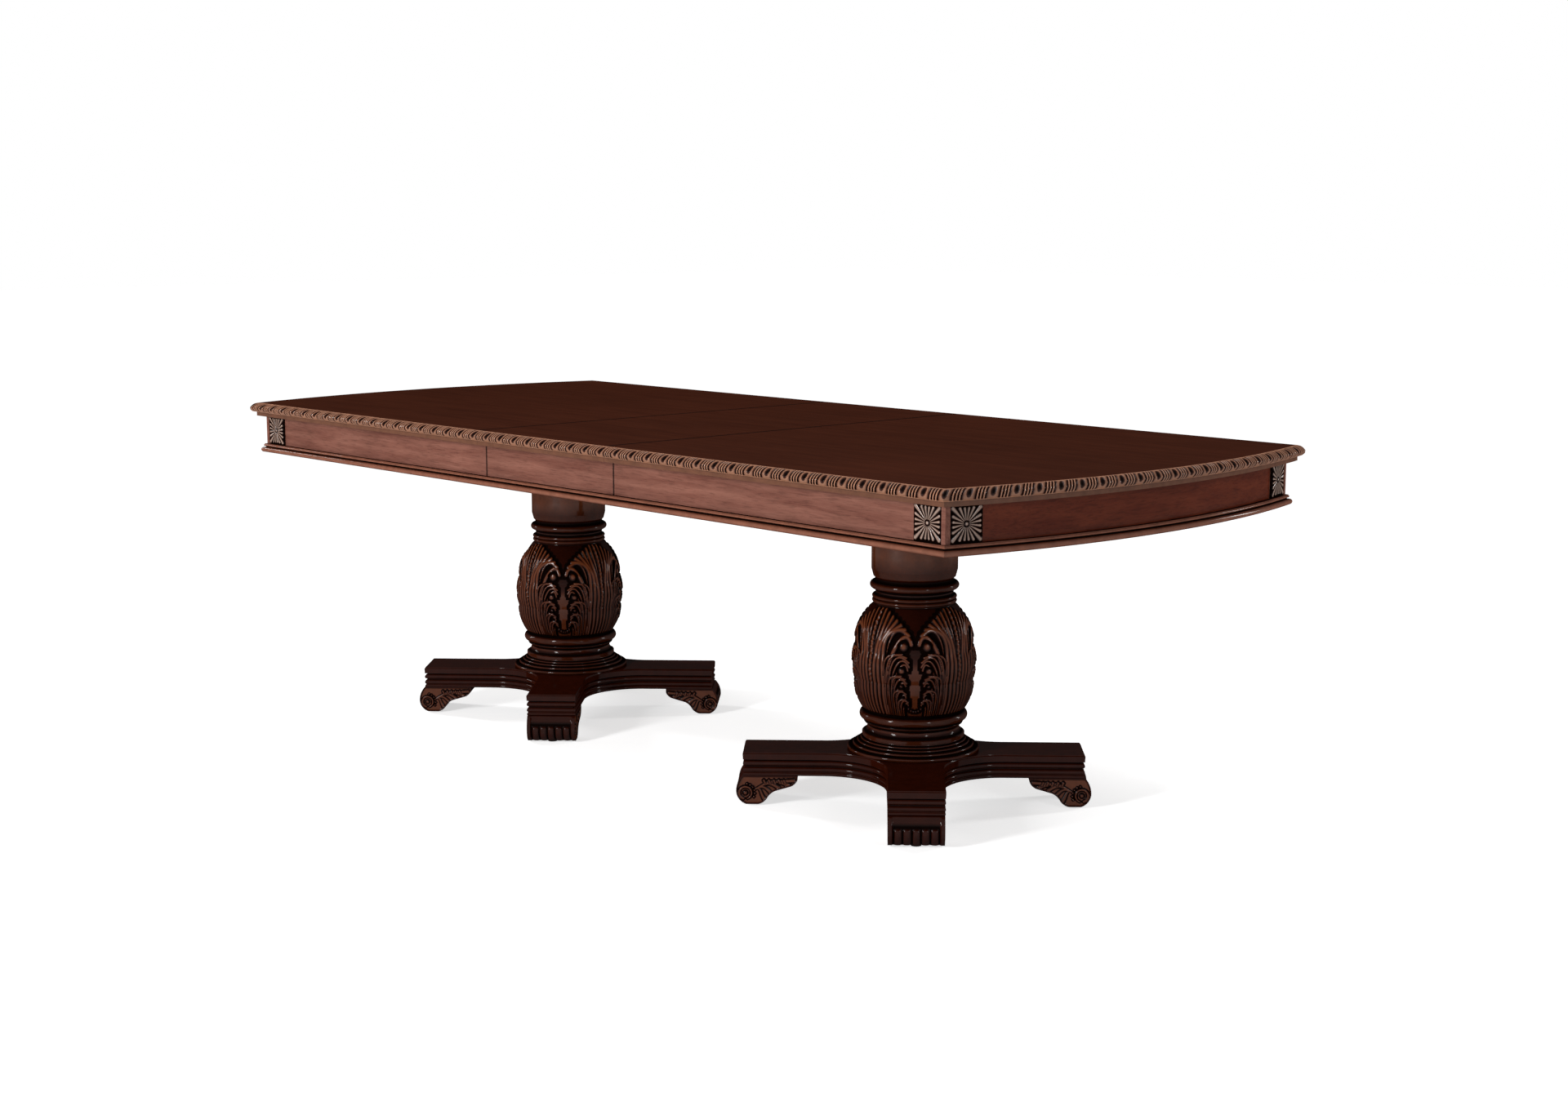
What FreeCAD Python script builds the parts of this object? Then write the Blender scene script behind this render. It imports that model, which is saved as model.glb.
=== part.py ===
import FreeCAD, Part
import math
import os
from types import SimpleNamespace

import Sketcher
from FreeCAD import Placement, Rotation, Vector

# An extending double pedestal dining table with one leaf in place.
# +X runs along the table, +Y across it and +Z up, from the floor under its middle. Millimetres.
# Each end is drawn once, for the +X end. The -X end is the same piece turned half round.
# near means the -Y long side and far means the +Y long side.

SIZES = {
    # The whole table
    "table_length": 2591.0,
    "table_width": 1118.0,
    "table_height": 787.0,
    "bow_rise": 84.0,
    "leaf_length": 457.0,
    "seam_gap": 0.4,
    # The top and the gadrooned moulding round it, measured inward from the outermost edge
    "panel_thickness": 25.0,
    "panel_inset": 18.0,
    "edge_depth": 33.0,
    "nose_depth": 22.0,
    "nose_crest": 11.0,
    "nose_tuck": 7.0,
    "fillet_setback": 15.0,
    "frame_setback": 62.0,
    "gouge_width": 2.4,
    "gouge_depth": 3.2,
    "gouge_lip": 1.2,
    "lobe_width": 29.0,
    # Apron, corner blocks and the reeded moulding under them
    "apron_depth": 72.0,
    "apron_setback": 40.0,
    "block_setback": 34.0,
    "block_length": 82.0,
    "block_strip": 10.0,
    "base_depth": 21.0,
    "base_setback": 19.0,
    "base_reed": 8.0,
    "base_step": 4.0,
    # Carved rosettes
    "rosette_side": 71.0,
    "rosette_back": 3.0,
    "rosette_relief": 3.0,
    "rosette_button": 5.5,
    # Telescopic wooden slides
    "slide_length": 607.0,
    "slide_width": 34.0,
    "slide_depth": 50.0,
    "slide_offset": 152.0,
    "slide_gap": 0.6,
    "tongue_reach": 9.0,
    "tongue_neck": 12.0,
    "tongue_tip": 18.0,
    # Bearers under the top, and the leaf's cleats
    "bearer_width": 45.0,
    "bearer_depth": 40.0,
    "bearer_inner_offset": 50.0,
    "bearer_outer_offset": 95.0,
    "cleat_width": 30.0,
    "cleat_depth": 30.0,
    "cleat_offset": 180.0,
    # Pedestals
    "pedestal_from_leaf": 381.5,
    "plate_side": 280.0,
    "plate_thickness": 28.0,
    "urn_radius": 133.0,
    "curl_radius": 11.0,
    "bore_radius": 9.0,
    "rod_radius": 8.0,
    "nut_radius": 14.0,
    "nut_height": 12.0,
    "ring_height": 32.0,
    "ring_radius": 142.0,
    "arm_reach": 369.0,
    "arm_width": 120.0,
    "crotch_radius": 135.0,
    "platform_thickness": 52.0,
    # Scroll feet, on the platform's arms
    "foot_inner": 250.0,
    "foot_length": 133.0,
    "foot_width": 116.0,
    "foot_height": 63.0,
    "foot_reed_gap": 3.0,
    "foot_reed_rise": 3.5,
    "volute_radius": 13.0,
    "volute_groove": 3.0,
    "volute_depth": 2.5,
    "glide_radius": 11.0,
    "glide_height": 3.0,
    # Screws through the plates and the slides
    "screw_radius": 3.0,
    "screw_head": 6.0,
    "screw_head_height": 4.0,
    "screw_length": 52.0,
    "screw_inset": 20.0,
    # One length that cuts run past what they cut
    "overrun": 40.0,
}

doc = FreeCAD.newDocument("DiningTable")
sheet = doc.addObject("Spreadsheet::Sheet", "Sizes")
for row, (alias, number) in enumerate(SIZES.items(), start=1):
    sheet.set(f"A{row}", alias)
    sheet.set(f"B{row}", str(number))
    sheet.setAlias(f"B{row}", alias)
doc.recompute()


class Size:
    """A number together with the spreadsheet formula that it comes from."""

    def __init__(self, value, formula):
        self.value = value
        self.formula = formula

    def __add__(self, other):
        return joined(self, "+", other, lambda a, b: a + b)

    def __sub__(self, other):
        return joined(self, "-", other, lambda a, b: a - b)

    def __mul__(self, other):
        return joined(self, "*", other, lambda a, b: a * b)

    def __truediv__(self, other):
        return joined(self, "/", other, lambda a, b: a / b)

    def __neg__(self):
        return Size(-self.value, f"(0 - {self.formula})")

    __radd__ = __add__
    __rmul__ = __mul__


def as_size(item):
    return item if isinstance(item, Size) else Size(float(item), str(float(item)))


def joined(left, sign, right, work):
    left = as_size(left)
    right = as_size(right)
    return Size(work(left.value, right.value), f"({left.formula} {sign} {right.formula})")


def root(item):
    return Size(math.sqrt(item.value), f"sqrt({item.formula})")


size = SimpleNamespace(**{alias: Size(number, f"Sizes.{alias}") for alias, number in SIZES.items()})

nodes = {}

FULL_TURN = 360
HALF_TURN = 180
QUARTER_TURN = 90
DEGREES_IN_RADIAN = math.degrees(1.0)
ENDS = {"right": 1, "left": -1}


def bind(thing, name, length):
    thing.setExpression(name, as_size(length).formula)


def place(thing, end=1, x=0, y=0, z=0, turn=0):
    """Sets a piece at a point of the +X end, turned about Z, or at the same point of the -X end."""
    spin = turn + (HALF_TURN if end < 0 else 0)
    thing.Placement = Placement(Vector(), Rotation(Vector(0, 0, 1), spin))
    for axis, length in (("x", as_size(x) * end), ("y", as_size(y) * end), ("z", as_size(z))):
        bind(thing, f"Placement.Base.{axis}", length)


def new_body(name):
    body = doc.addObject("PartDesign::Body", name)
    body.Label = name
    return body


def node(name, thing):
    thing.Label = name
    nodes[name] = thing
    return thing


def group(name, members):
    """Several like pieces in one node."""
    bundle = doc.addObject("Part::Compound", name)
    bundle.Links = members
    return node(name, bundle)


def new_sketch(body, plane, name):
    sketch = body.newObject("Sketcher::SketchObject", name)
    origin = next(item for item in body.Origin.OriginFeatures if item.Role == plane)
    sketch.AttachmentSupport = [(origin, "")]
    sketch.MapMode = "FlatFace"
    return sketch


def pin(sketch, geometry, end, x, y):
    """Ties one point of a sketch to the origin by two bound distances."""
    for axis, kind, length in ((-2, "DistanceX", x), (-1, "DistanceY", y)):
        length = as_size(length)
        if abs(length.value) < 1e-9:
            sketch.addConstraint(Sketcher.Constraint("PointOnObject", geometry, end, axis))
            continue
        made = sketch.addConstraint(Sketcher.Constraint(kind, -1, 1, geometry, end, length.value))
        bind(sketch, f"Constraints[{made}]", length)


def outline(sketch, corners, mirror=False):
    """Draws a closed outline from corners (x, y) or (x, y, bend).

    bend shapes the edge that leaves the corner: a number is an arc that turns left by so many
    degrees, and a Size is the radius of a short arc. A minus sign turns the arc to the right.
    """
    side = -1 if mirror else 1
    corners = [(as_size(c[0]) * side, as_size(c[1]), c[2] if len(c) > 2 else 0) for c in corners]
    starts = []
    for index, (x, y, bend) in enumerate(corners):
        after = corners[(index + 1) % len(corners)]
        a = Vector(x.value, y.value, 0)
        b = Vector(after[0].value, after[1].value, 0)
        amount = as_size(bend).value * side
        if amount == 0:
            made = sketch.addGeometry(Part.LineSegment(a, b), False)
            starts.append((made, 1, 2))
            continue
        chord = b - a
        by_radius = isinstance(bend, Size)
        if by_radius:
            radius = abs(amount)
        else:
            radius = chord.Length / 2 / math.sin(math.radians(abs(amount)) / 2)
        height = math.sqrt(max(radius * radius - chord.Length * chord.Length / 4, 0))
        if not by_radius and abs(amount) > HALF_TURN:
            height = -height
        left = Vector(-chord.y, chord.x, 0).normalize()
        centre = (a + b) / 2 + left * math.copysign(height, amount * (1 if height >= 0 else -1))
        if amount < 0:
            a, b = b, a
        angle_a = math.atan2(a.y - centre.y, a.x - centre.x)
        angle_b = math.atan2(b.y - centre.y, b.x - centre.x)
        if angle_b <= angle_a:
            angle_b += 2 * math.pi
        circle = Part.Circle(centre, Vector(0, 0, 1), radius)
        made = sketch.addGeometry(Part.ArcOfCircle(circle, angle_a, angle_b), False)
        starts.append((made, 1, 2) if amount > 0 else (made, 2, 1))
        if by_radius:
            rule = sketch.addConstraint(Sketcher.Constraint("Radius", made, radius))
            bind(sketch, f"Constraints[{rule}]", bend if bend.value > 0 else -bend)
        else:
            sketch.addConstraint(Sketcher.Constraint("Angle", made, math.radians(abs(amount))))
    for index, (made, start, finish) in enumerate(starts):
        after, after_start, _ = starts[(index + 1) % len(starts)]
        sketch.addConstraint(Sketcher.Constraint("Coincident", made, finish, after, after_start))
        x, y, _ = corners[index]
        pin(sketch, made, start, x, y)


def circle(sketch, x, y, radius):
    where = Vector(as_size(x).value, as_size(y).value, 0)
    made = sketch.addGeometry(Part.Circle(where, Vector(0, 0, 1), radius.value), False)
    rule = sketch.addConstraint(Sketcher.Constraint("Radius", made, radius.value))
    bind(sketch, f"Constraints[{rule}]", radius)
    pin(sketch, made, 3, x, y)


def pad(body, sketch, length, name, both_ways=False):
    made = body.newObject("PartDesign::Pad", name)
    made.Profile = sketch
    made.Midplane = both_ways
    bind(made, "Length", length)
    body.Tip = made
    return made


def cut_through(body, sketch, name):
    made = body.newObject("PartDesign::Pocket", name)
    made.Profile = sketch
    made.Type = 1
    made.Midplane = True
    body.Tip = made
    return made


def cut(body, sketch, length, name):
    """A cut of a given length that the sketch stands in the middle of."""
    made = body.newObject("PartDesign::Pocket", name)
    made.Profile = sketch
    made.Midplane = True
    bind(made, "Length", length)
    body.Tip = made
    return made


def turned(body, sketch, name, angle=FULL_TURN):
    """Turns a sketch about its upright axis, or through an angle that it stands in the middle of."""
    made = body.newObject("PartDesign::Revolution", name)
    made.Profile = sketch
    made.ReferenceAxis = (sketch, ["V_Axis"])
    made.Angle = angle
    made.Midplane = angle < FULL_TURN
    body.Tip = made
    return made


def ring_of(body, feature, sketch_axis, name, count, angle=FULL_TURN):
    """Repeats a feature round an axis."""
    made = body.newObject("PartDesign::PolarPattern", name)
    made.Originals = [feature]
    made.Axis = sketch_axis
    made.Angle = angle
    made.Occurrences = count
    body.Tip = made
    return made


# Places that several pieces share
half_width = size.table_width / 2
bow_radius = (half_width * half_width + size.bow_rise * size.bow_rise) / (size.bow_rise * 2)
bow_centre = size.table_length / 2 - bow_radius
seam = size.leaf_length / 2 + size.seam_gap
underside = size.table_height - size.panel_thickness
edge_bottom = size.table_height - size.edge_depth
apron_bottom = edge_bottom - size.apron_depth
base_bottom = apron_bottom - size.base_depth
pedestal_x = size.leaf_length / 2 + size.pedestal_from_leaf
bearer_bottom = underside - size.bearer_depth
plate_bottom = bearer_bottom - size.plate_thickness
platform_bottom = size.glide_height + size.foot_height
platform_top = platform_bottom + size.platform_thickness
column_bottom = platform_top + size.ring_height


def on_bow(setback, y):
    """How far along X, from the bow's centre, the bowed line inside the edge lies at y."""
    reach = bow_radius - setback
    return root(reach * reach - y * y)


def corner(setback):
    """The corner where the straight and the bowed lines so far inside the edge meet."""
    y = half_width - setback
    return on_bow(setback, y), y


mitre_past_share = 0.3


def mitre():
    """Two points of the mitre line at a corner, past the mouldings on both sides."""
    outer_x, outer_y = corner(as_size(0))
    inner_x, inner_y = corner(size.frame_setback)
    past_x = (outer_x - inner_x) * mitre_past_share
    past_y = (outer_y - inner_y) * mitre_past_share
    return (outer_x + past_x, outer_y + past_y), (inner_x - past_x, inner_y - past_y)


nose_top_turn = 70
nose_lower_turn = 60


def edge_profile(outermost):
    """The gadrooned nose, the plain fillet under it, and the rebate that holds the top panel."""
    top = size.table_height
    return [
        (outermost - size.panel_inset, underside),
        (outermost - size.panel_inset, top, -nose_top_turn),
        (outermost, top - size.nose_crest, -nose_lower_turn),
        (outermost - size.nose_tuck, top - size.nose_depth),
        (outermost - size.fillet_setback, top - size.nose_depth),
        (outermost - size.fillet_setback, edge_bottom),
        (outermost - size.frame_setback, edge_bottom),
        (outermost - size.frame_setback, underside),
    ]


def reed(inner, bottom, top):
    """A half-round reed drawn upward as two quarter rounds."""
    middle = (bottom + top) / 2
    return [(inner, bottom, QUARTER_TURN), (inner + (top - bottom) / 2, middle, QUARTER_TURN), (inner, top)]


def base_profile(outermost):
    """The moulding under the apron: a small reed over a larger one."""
    small_bottom = apron_bottom - size.base_reed
    large_in = outermost - size.base_setback - (small_bottom - base_bottom) / 2
    small_in = large_in - size.base_step
    corners = [(outermost - size.frame_setback, base_bottom)]
    corners += reed(large_in, base_bottom, small_bottom)
    corners += reed(small_in, small_bottom, apron_bottom)
    corners.append((outermost - size.frame_setback, apron_bottom))
    return corners


def gouge_profile(outermost):
    """What a gouge takes from the nose: from its inner edge to under its crest, leaving a lip."""
    top = size.table_height
    low = top - size.nose_depth + size.gouge_lip
    outside = outermost + size.overrun
    return [
        (outermost - size.panel_inset, top, -nose_top_turn),
        (outermost - size.gouge_depth, top - size.nose_crest, -nose_lower_turn),
        (outermost - size.nose_tuck - size.gouge_lip, low),
        (outside, low),
        (outside, top + size.overrun),
        (outermost - size.panel_inset, top + size.overrun),
    ]


SIDE_LOBES = 19
LEAF_LOBES = 9
BOW_LOBES = 22


def gouge_row(body, name, length, lobes, mirror):
    """Gouge cuts across a straight nose, one on each side of every gadroon lobe.

    A whole number of lobes is set out over the length, so that half a lobe meets each joint.
    """
    pitch = length / lobes
    for label, first in (("before", size.lobe_width / 2), ("after", pitch - size.lobe_width / 2)):
        section = new_sketch(body, "YZ_Plane", f"{name}_gouge_{label}")
        section.AttachmentOffset = Placement(Vector(0, 0, first.value), Rotation())
        bind(section, "AttachmentOffset.Base.z", first)
        outline(section, gouge_profile(half_width), mirror=mirror)
        gouge = cut(body, section, size.gouge_width, f"{name}_gouge_{label}_cut")
        row = body.newObject("PartDesign::LinearPattern", f"{name}_gouges_{label}")
        row.Originals = [gouge]
        row.Direction = (section, ["N_Axis"])
        bind(row, "Length", pitch * (lobes - 1))
        row.Occurrences = lobes
        body.Tip = row


def side_moulding(name, profile, end, side, gadroons=False):
    """A straight moulding along one long side of an end, mitred at the corner."""
    body = new_body(name)
    section = new_sketch(body, "YZ_Plane", f"{name}_section")
    outline(section, profile(half_width), mirror=side < 0)
    (outer_x, outer_y), (inner_x, inner_y) = mitre()
    start = seam - bow_centre
    length = outer_x - start
    pad(body, section, length, f"{name}_length")
    saw = new_sketch(body, "XY_Plane", f"{name}_mitre")
    far_x = length + size.overrun
    corners = [(outer_x - start, outer_y), (inner_x - start, inner_y), (far_x, inner_y), (far_x, outer_y)]
    outline(saw, [(x, y * side) for x, y in corners])
    cut_through(body, saw, f"{name}_mitre_cut")
    if gadroons:
        gouge_row(body, name, corner(as_size(0))[0] - start, SIDE_LOBES, side < 0)
    place(body, end, x=seam)
    return node(name, body)


def bowed_moulding(name, profile, end, gadroons=False):
    """A moulding bent round the bowed end, mitred at both corners."""
    body = new_body(name)
    section = new_sketch(body, "XZ_Plane", f"{name}_section")
    outline(section, profile(bow_radius))
    sweep = turned(body, section, f"{name}_bend")
    sweep.Midplane = True
    (outer_x, outer_y), (inner_x, inner_y) = mitre()
    half_sweep = f"asin({(outer_y / bow_radius).formula})"
    sweep.setExpression("Angle", f"2 * {half_sweep}")
    saw = new_sketch(body, "XY_Plane", f"{name}_mitres")
    far_x = inner_x - size.overrun
    far_y = outer_y + size.overrun
    corners = [(outer_x, outer_y), (inner_x, inner_y), (far_x, inner_y), (far_x, far_y), (outer_x, far_y)]
    for side in (1, -1):
        outline(saw, [(x, y * side) for x, y in corners])
    cut_through(body, saw, f"{name}_mitre_cut")
    if gadroons:
        bow_gouges(body, name)
    place(body, end, x=bow_centre)
    return node(name, body)


def bow_gouges(body, name):
    """Gouge cuts on both sides of every gadroon lobe round the bow, half a lobe at each corner."""
    half_bow = f"asin({(half_width / bow_radius).formula})"
    half_bow_now = math.degrees(math.asin(half_width.value / bow_radius.value))
    pitch_now = 2 * half_bow_now / BOW_LOBES
    lobe_turn = f"({(size.lobe_width / bow_radius / 2).formula}) * {DEGREES_IN_RADIAN} deg"
    lobe_turn_now = math.degrees(size.lobe_width.value / bow_radius.value / 2)
    starts = (
        ("before", -half_bow_now + lobe_turn_now, f"{lobe_turn} - {half_bow}"),
        ("after", -half_bow_now + pitch_now - lobe_turn_now, f"{half_bow} * (2 / {BOW_LOBES} - 1) - {lobe_turn}"),
    )
    for label, start_now, start in starts:
        section = new_sketch(body, "XZ_Plane", f"{name}_gouge_{label}")
        section.AttachmentOffset = Placement(Vector(), Rotation(Vector(0, 1, 0), start_now))
        section.setExpression("AttachmentOffset.Rotation.Angle", start)
        outline(section, gouge_profile(bow_radius))
        gouge = cut(body, section, size.gouge_width, f"{name}_gouge_{label}_cut")
        axis = (next(item for item in body.Origin.OriginFeatures if item.Role == "Z_Axis"), [""])
        turn = 2 * half_bow_now * (BOW_LOBES - 1) / BOW_LOBES
        row = ring_of(body, gouge, axis, f"{name}_gouges_{label}", BOW_LOBES, turn)
        row.setExpression("Angle", f"2 * {half_bow} * ({BOW_LOBES} - 1) / {BOW_LOBES}")


def top_panel(end):
    name = f"{end_name(end)}_top_panel"
    body = new_body(name)
    plan = new_sketch(body, "XY_Plane", f"{name}_plan")
    x, y = corner(size.panel_inset)
    start = seam - bow_centre
    outline(plan, [(start, -y), (x, -y, bow_radius - size.panel_inset), (x, y), (start, y)])
    pad(body, plan, size.panel_thickness, f"{name}_board")
    place(body, end, x=bow_centre, z=underside)
    return node(name, body)


def end_name(end):
    return "right" if end > 0 else "left"


def row_name(end, side):
    """near is the -Y side of the table, whichever end the piece is on."""
    return "near" if side * end < 0 else "far"


def side_apron(name, end, side, start, length):
    body = new_body(name)
    section = new_sketch(body, "YZ_Plane", f"{name}_section")
    face = half_width - size.apron_setback
    back = half_width - size.frame_setback
    corners = [(back, apron_bottom), (face, apron_bottom), (face, edge_bottom), (back, edge_bottom)]
    outline(section, corners, mirror=side < 0)
    pad(body, section, length, f"{name}_length")
    place(body, end, x=start)
    return node(name, body)


def end_apron(end):
    name = f"{end_name(end)}_end_apron"
    body = new_body(name)
    plan = new_sketch(body, "XY_Plane", f"{name}_plan")
    y = half_width - size.block_setback - size.block_length
    face_x = on_bow(size.apron_setback, y)
    back_x = on_bow(size.frame_setback, y)
    face = bow_radius - size.apron_setback
    back = bow_radius - size.frame_setback
    outline(plan, [(face_x, -y, face), (face_x, y), (back_x, y, -back), (back_x, -y)])
    pad(body, plan, size.apron_depth, f"{name}_board")
    place(body, end, x=bow_centre, z=apron_bottom)
    return node(name, body)


def corner_block(end, side):
    """A square corner block whose two outer faces are let in for a rosette each."""
    name = f"{end_name(end)}_{row_name(end, side)}_block"
    body = new_body(name)
    plan = new_sketch(body, "XY_Plane", f"{name}_plan")
    arris_x, arris_y = corner(size.block_setback)
    floor_y = half_width - size.apron_setback
    strip_y = arris_y - size.block_strip
    inner_x = arris_x - size.block_length
    inner_y = arris_y - size.block_length
    corners = [
        (inner_x, inner_y),
        (inner_x, floor_y),
        (arris_x - size.block_strip, floor_y),
        (arris_x - size.block_strip, arris_y),
        (arris_x, arris_y),
        (on_bow(size.block_setback, strip_y), strip_y),
        (on_bow(size.apron_setback, strip_y), strip_y),
        (on_bow(size.apron_setback, inner_y), inner_y),
    ]
    outline(plan, [(x, y * side) for x, y in corners])
    pad(body, plan, size.apron_depth, f"{name}_length")
    place(body, end, x=bow_centre, z=apron_bottom)
    return body


petal_count = 16
petal_inner_share = 0.1
petal_outer_share = 0.49
corner_petal_share = 0.64
petal_turn = 44


def rosette(name):
    """A square plate carved with leaves that radiate from a button, facing its own +Z."""
    body = new_body(name)
    square = new_sketch(body, "XY_Plane", f"{name}_square")
    half = size.rosette_side / 2
    outline(square, [(-half, -half), (half, -half), (half, half), (-half, half)])
    pad(body, square, size.rosette_back, f"{name}_plate")
    relief = size.rosette_back + size.rosette_relief
    start = size.rosette_side * petal_inner_share
    diagonal = math.sqrt(0.5)
    leaves = (
        ("leaf", petal_outer_share, petal_count, 1, 0),
        ("corner_leaf", corner_petal_share, 4, diagonal, diagonal),
    )
    for label, share, count, along, across in leaves:
        leaf = new_sketch(body, "XY_Plane", f"{name}_{label}")
        tip = size.rosette_side * share
        root_point = (start * along, start * across, petal_turn)
        outline(leaf, [root_point, (tip * along, tip * across, petal_turn)])
        raised = pad(body, leaf, relief, f"{name}_{label}_pad")
        ring_of(body, raised, (leaf, ["N_Axis"]), f"{name}_{label}_ring", count)
    middle = new_sketch(body, "XY_Plane", f"{name}_button")
    circle(middle, 0, 0, size.rosette_button)
    pad(body, middle, relief, f"{name}_button_pad")
    return body


def rosettes(end):
    """Two rosettes on each corner block, one on the long side and one on the bowed end."""
    members = []
    upright = Rotation(Vector(0, 0, 1), QUARTER_TURN) * Rotation(Vector(1, 0, 0), QUARTER_TURN)
    arris_x, arris_y = corner(size.block_setback)
    along = size.block_strip + size.rosette_side / 2
    centre_z = apron_bottom + size.apron_depth / 2
    for side in (1, -1):
        faces = (
            (bow_centre + arris_x - along, (half_width - size.apron_setback) * side, QUARTER_TURN * side),
            (
                bow_centre + on_bow(size.apron_setback, arris_y - along),
                (arris_y - along) * side,
                math.degrees(math.asin((arris_y - along).value / bow_radius.value)) * side,
            ),
        )
        for x, y, facing in faces:
            made = rosette(f"{end_name(end)}_rosette_{len(members) + 1}")
            place(made, end, x=x, y=y, z=centre_z)
            spin = Rotation(Vector(0, 0, 1), facing + (HALF_TURN if end < 0 else 0))
            made.Placement = Placement(Vector(), spin * upright)
            members.append(made)
    return group(f"{end_name(end)}_rosettes", members)


def tongue_section(y, outward):
    """The upper and lower edge of a dovetail tongue that stands out from a slide's side at y."""
    middle = underside - size.slide_depth / 2
    tip = y + size.tongue_reach * outward
    return [
        (y, middle - size.tongue_neck / 2),
        (tip, middle - size.tongue_tip / 2),
        (tip, middle + size.tongue_tip / 2),
        (y, middle + size.tongue_neck / 2),
    ]


def groove_section(y, outward):
    """The groove in the runner's side at y that the tongue runs in, with the running gap all round."""
    middle = underside - size.slide_depth / 2
    bottom = y + (size.tongue_reach + size.slide_gap) * outward
    slope = (size.tongue_tip - size.tongue_neck) / 2 / size.tongue_reach
    mouth = size.tongue_neck / 2 + size.slide_gap - slope * size.slide_gap
    deep = size.tongue_tip / 2 + size.slide_gap
    return [
        (y, middle - mouth),
        (bottom, middle - deep),
        (bottom, middle + deep),
        (y, middle + mouth),
    ]


def slide_bar(name, inner_y, inward_tongue, outward_tongue, grooved, side):
    """One bar of a telescopic slide, drawn across Y and Z and run along X."""
    body = new_body(name)
    section = new_sketch(body, "YZ_Plane", f"{name}_section")
    outer_y = inner_y + size.slide_width
    top = underside - (size.slide_gap if grooved else 0)
    bottom = underside - size.slide_depth
    corners = [(inner_y, bottom), (outer_y, bottom)]
    if grooved:
        corners += groove_section(outer_y, -1)
    if outward_tongue:
        corners += tongue_section(outer_y, 1)
    corners += [(outer_y, top), (inner_y, top)]
    if grooved:
        corners += reversed(groove_section(inner_y, 1))
    if inward_tongue:
        corners += reversed(tongue_section(inner_y, -1))
    outline(section, [(y * side, z) for y, z in corners])
    pad(body, section, size.slide_length, f"{name}_length")
    return body


def slide_rail(end, side):
    """The outer or inner bar of a slide, fixed under the top of its own end."""
    name = f"{end_name(end)}_{row_name(end, side)}_slide"
    step = size.slide_width + size.slide_gap
    outer = side < 0
    inner_y = size.slide_offset + (step * 2 if outer else 0)
    start = size.leaf_length / 2 - size.slide_length / 2
    bar = slide_bar(name, inner_y, outer, not outer, False, side)
    place(bar, end, x=start)
    return bar


def slide_runner(side):
    """The middle bar of a slide, which runs between the bars of the two ends."""
    name = "near_runner" if side < 0 else "far_runner"
    inner_y = size.slide_offset + size.slide_width + size.slide_gap
    start = -size.slide_length / 2
    bar = slide_bar(name, inner_y, False, False, True, side)
    place(bar, x=start)
    return node(name, bar)


def block(name, length, width, depth):
    """A plain rectangular batten, with its size bound to the sheet."""
    box = doc.addObject("Part::Box", name)
    bind(box, "Length", length)
    bind(box, "Width", width)
    bind(box, "Height", depth)
    return box


def bearers(end):
    """Two battens across the table, between the aprons, that carry the pedestal's plate."""
    members = []
    reach = half_width - size.frame_setback
    for label, offset in (("inner", -size.bearer_inner_offset), ("outer", size.bearer_outer_offset)):
        bar = block(f"{end_name(end)}_{label}_bearer", size.bearer_width, reach * 2, size.bearer_depth)
        place(bar, end, x=pedestal_x + offset - size.bearer_width / 2, y=-reach, z=bearer_bottom)
        members.append(bar)
    return group(f"{end_name(end)}_bearers", members)


def screw_places():
    """Where the plate is screwed to the bearers, from the pedestal's axis."""
    y = size.plate_side / 2 - size.screw_inset
    return [(x, y * side) for x in (-size.bearer_inner_offset, size.bearer_outer_offset) for side in (1, -1)]


def mounting_plate(end):
    name = f"{end_name(end)}_pedestal_plate"
    body = new_body(name)
    plan = new_sketch(body, "XY_Plane", f"{name}_plan")
    half = size.plate_side / 2
    outline(plan, [(-half, -half), (half, -half), (half, half), (-half, half)])
    circle(plan, 0, 0, size.bore_radius)
    for x, y in screw_places():
        circle(plan, x, y, size.screw_radius)
    pad(body, plan, size.plate_thickness, f"{name}_board")
    place(body, end, x=pedestal_x, z=plate_bottom)
    return node(name, body)


# The turned column from its foot up: radius as a share of the urn's radius, height as a share of
# the column's height, and the turn in degrees of the arc to the next point
COLUMN_SHARES = [
    (0.835, 0.0, 0),
    (0.835, 0.012, -70),
    (0.748, 0.042, -60),
    (0.805, 0.058, 0),
    (0.850, 0.058, 150),
    (0.850, 0.100, 0),
    (0.780, 0.100, 0),
    (0.780, 0.110, 38),
    (0.945, 0.245, 34),
    (0.945, 0.360, 40),
    (0.665, 0.532, -60),
    (0.662, 0.543, 0),
    (0.672, 0.543, 160),
    (0.672, 0.562, 0),
    (0.640, 0.562, -100),
    (0.640, 0.586, 0),
    (0.690, 0.586, 160),
    (0.690, 0.622, 0),
    (0.665, 0.622, -50),
    (0.700, 0.655, 0),
    (0.700, 1.0, 0),
]


# The raised ribs of one acanthus bundle on the urn, from its middle rib outward: radius and height
# shares of the rib's top, and the turn of the arc up to it
RIB_TOPS = [(0.755, 0.500, 40), (0.813, 0.475, 32), (0.877, 0.440, 20), (0.924, 0.400, 16)]
RIB_FOOT_SHARES = (0.8166, 0.125)
RIB_BELLY_SHARE = 0.3025
RIB_ROOT_SHARE = 0.62
RIB_FOOT_TURN = 34
RIB_SPACING = 8
RIB_TURN = 6
BUNDLES = 4

# The curls beside the urn's plain fields, as turn from the field's middle, height share, radius
# share of the centre and size against the largest
CURLS = [(11.3, 0.395, 0.883, 1.0), (12.7, 0.301, 0.947, 0.7)]


def turned_plane(sketch, degrees):
    """Turns a sketch on the XZ plane about the upright axis."""
    sketch.AttachmentOffset = Placement(Vector(), Rotation(Vector(0, 1, 0), degrees))


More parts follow.
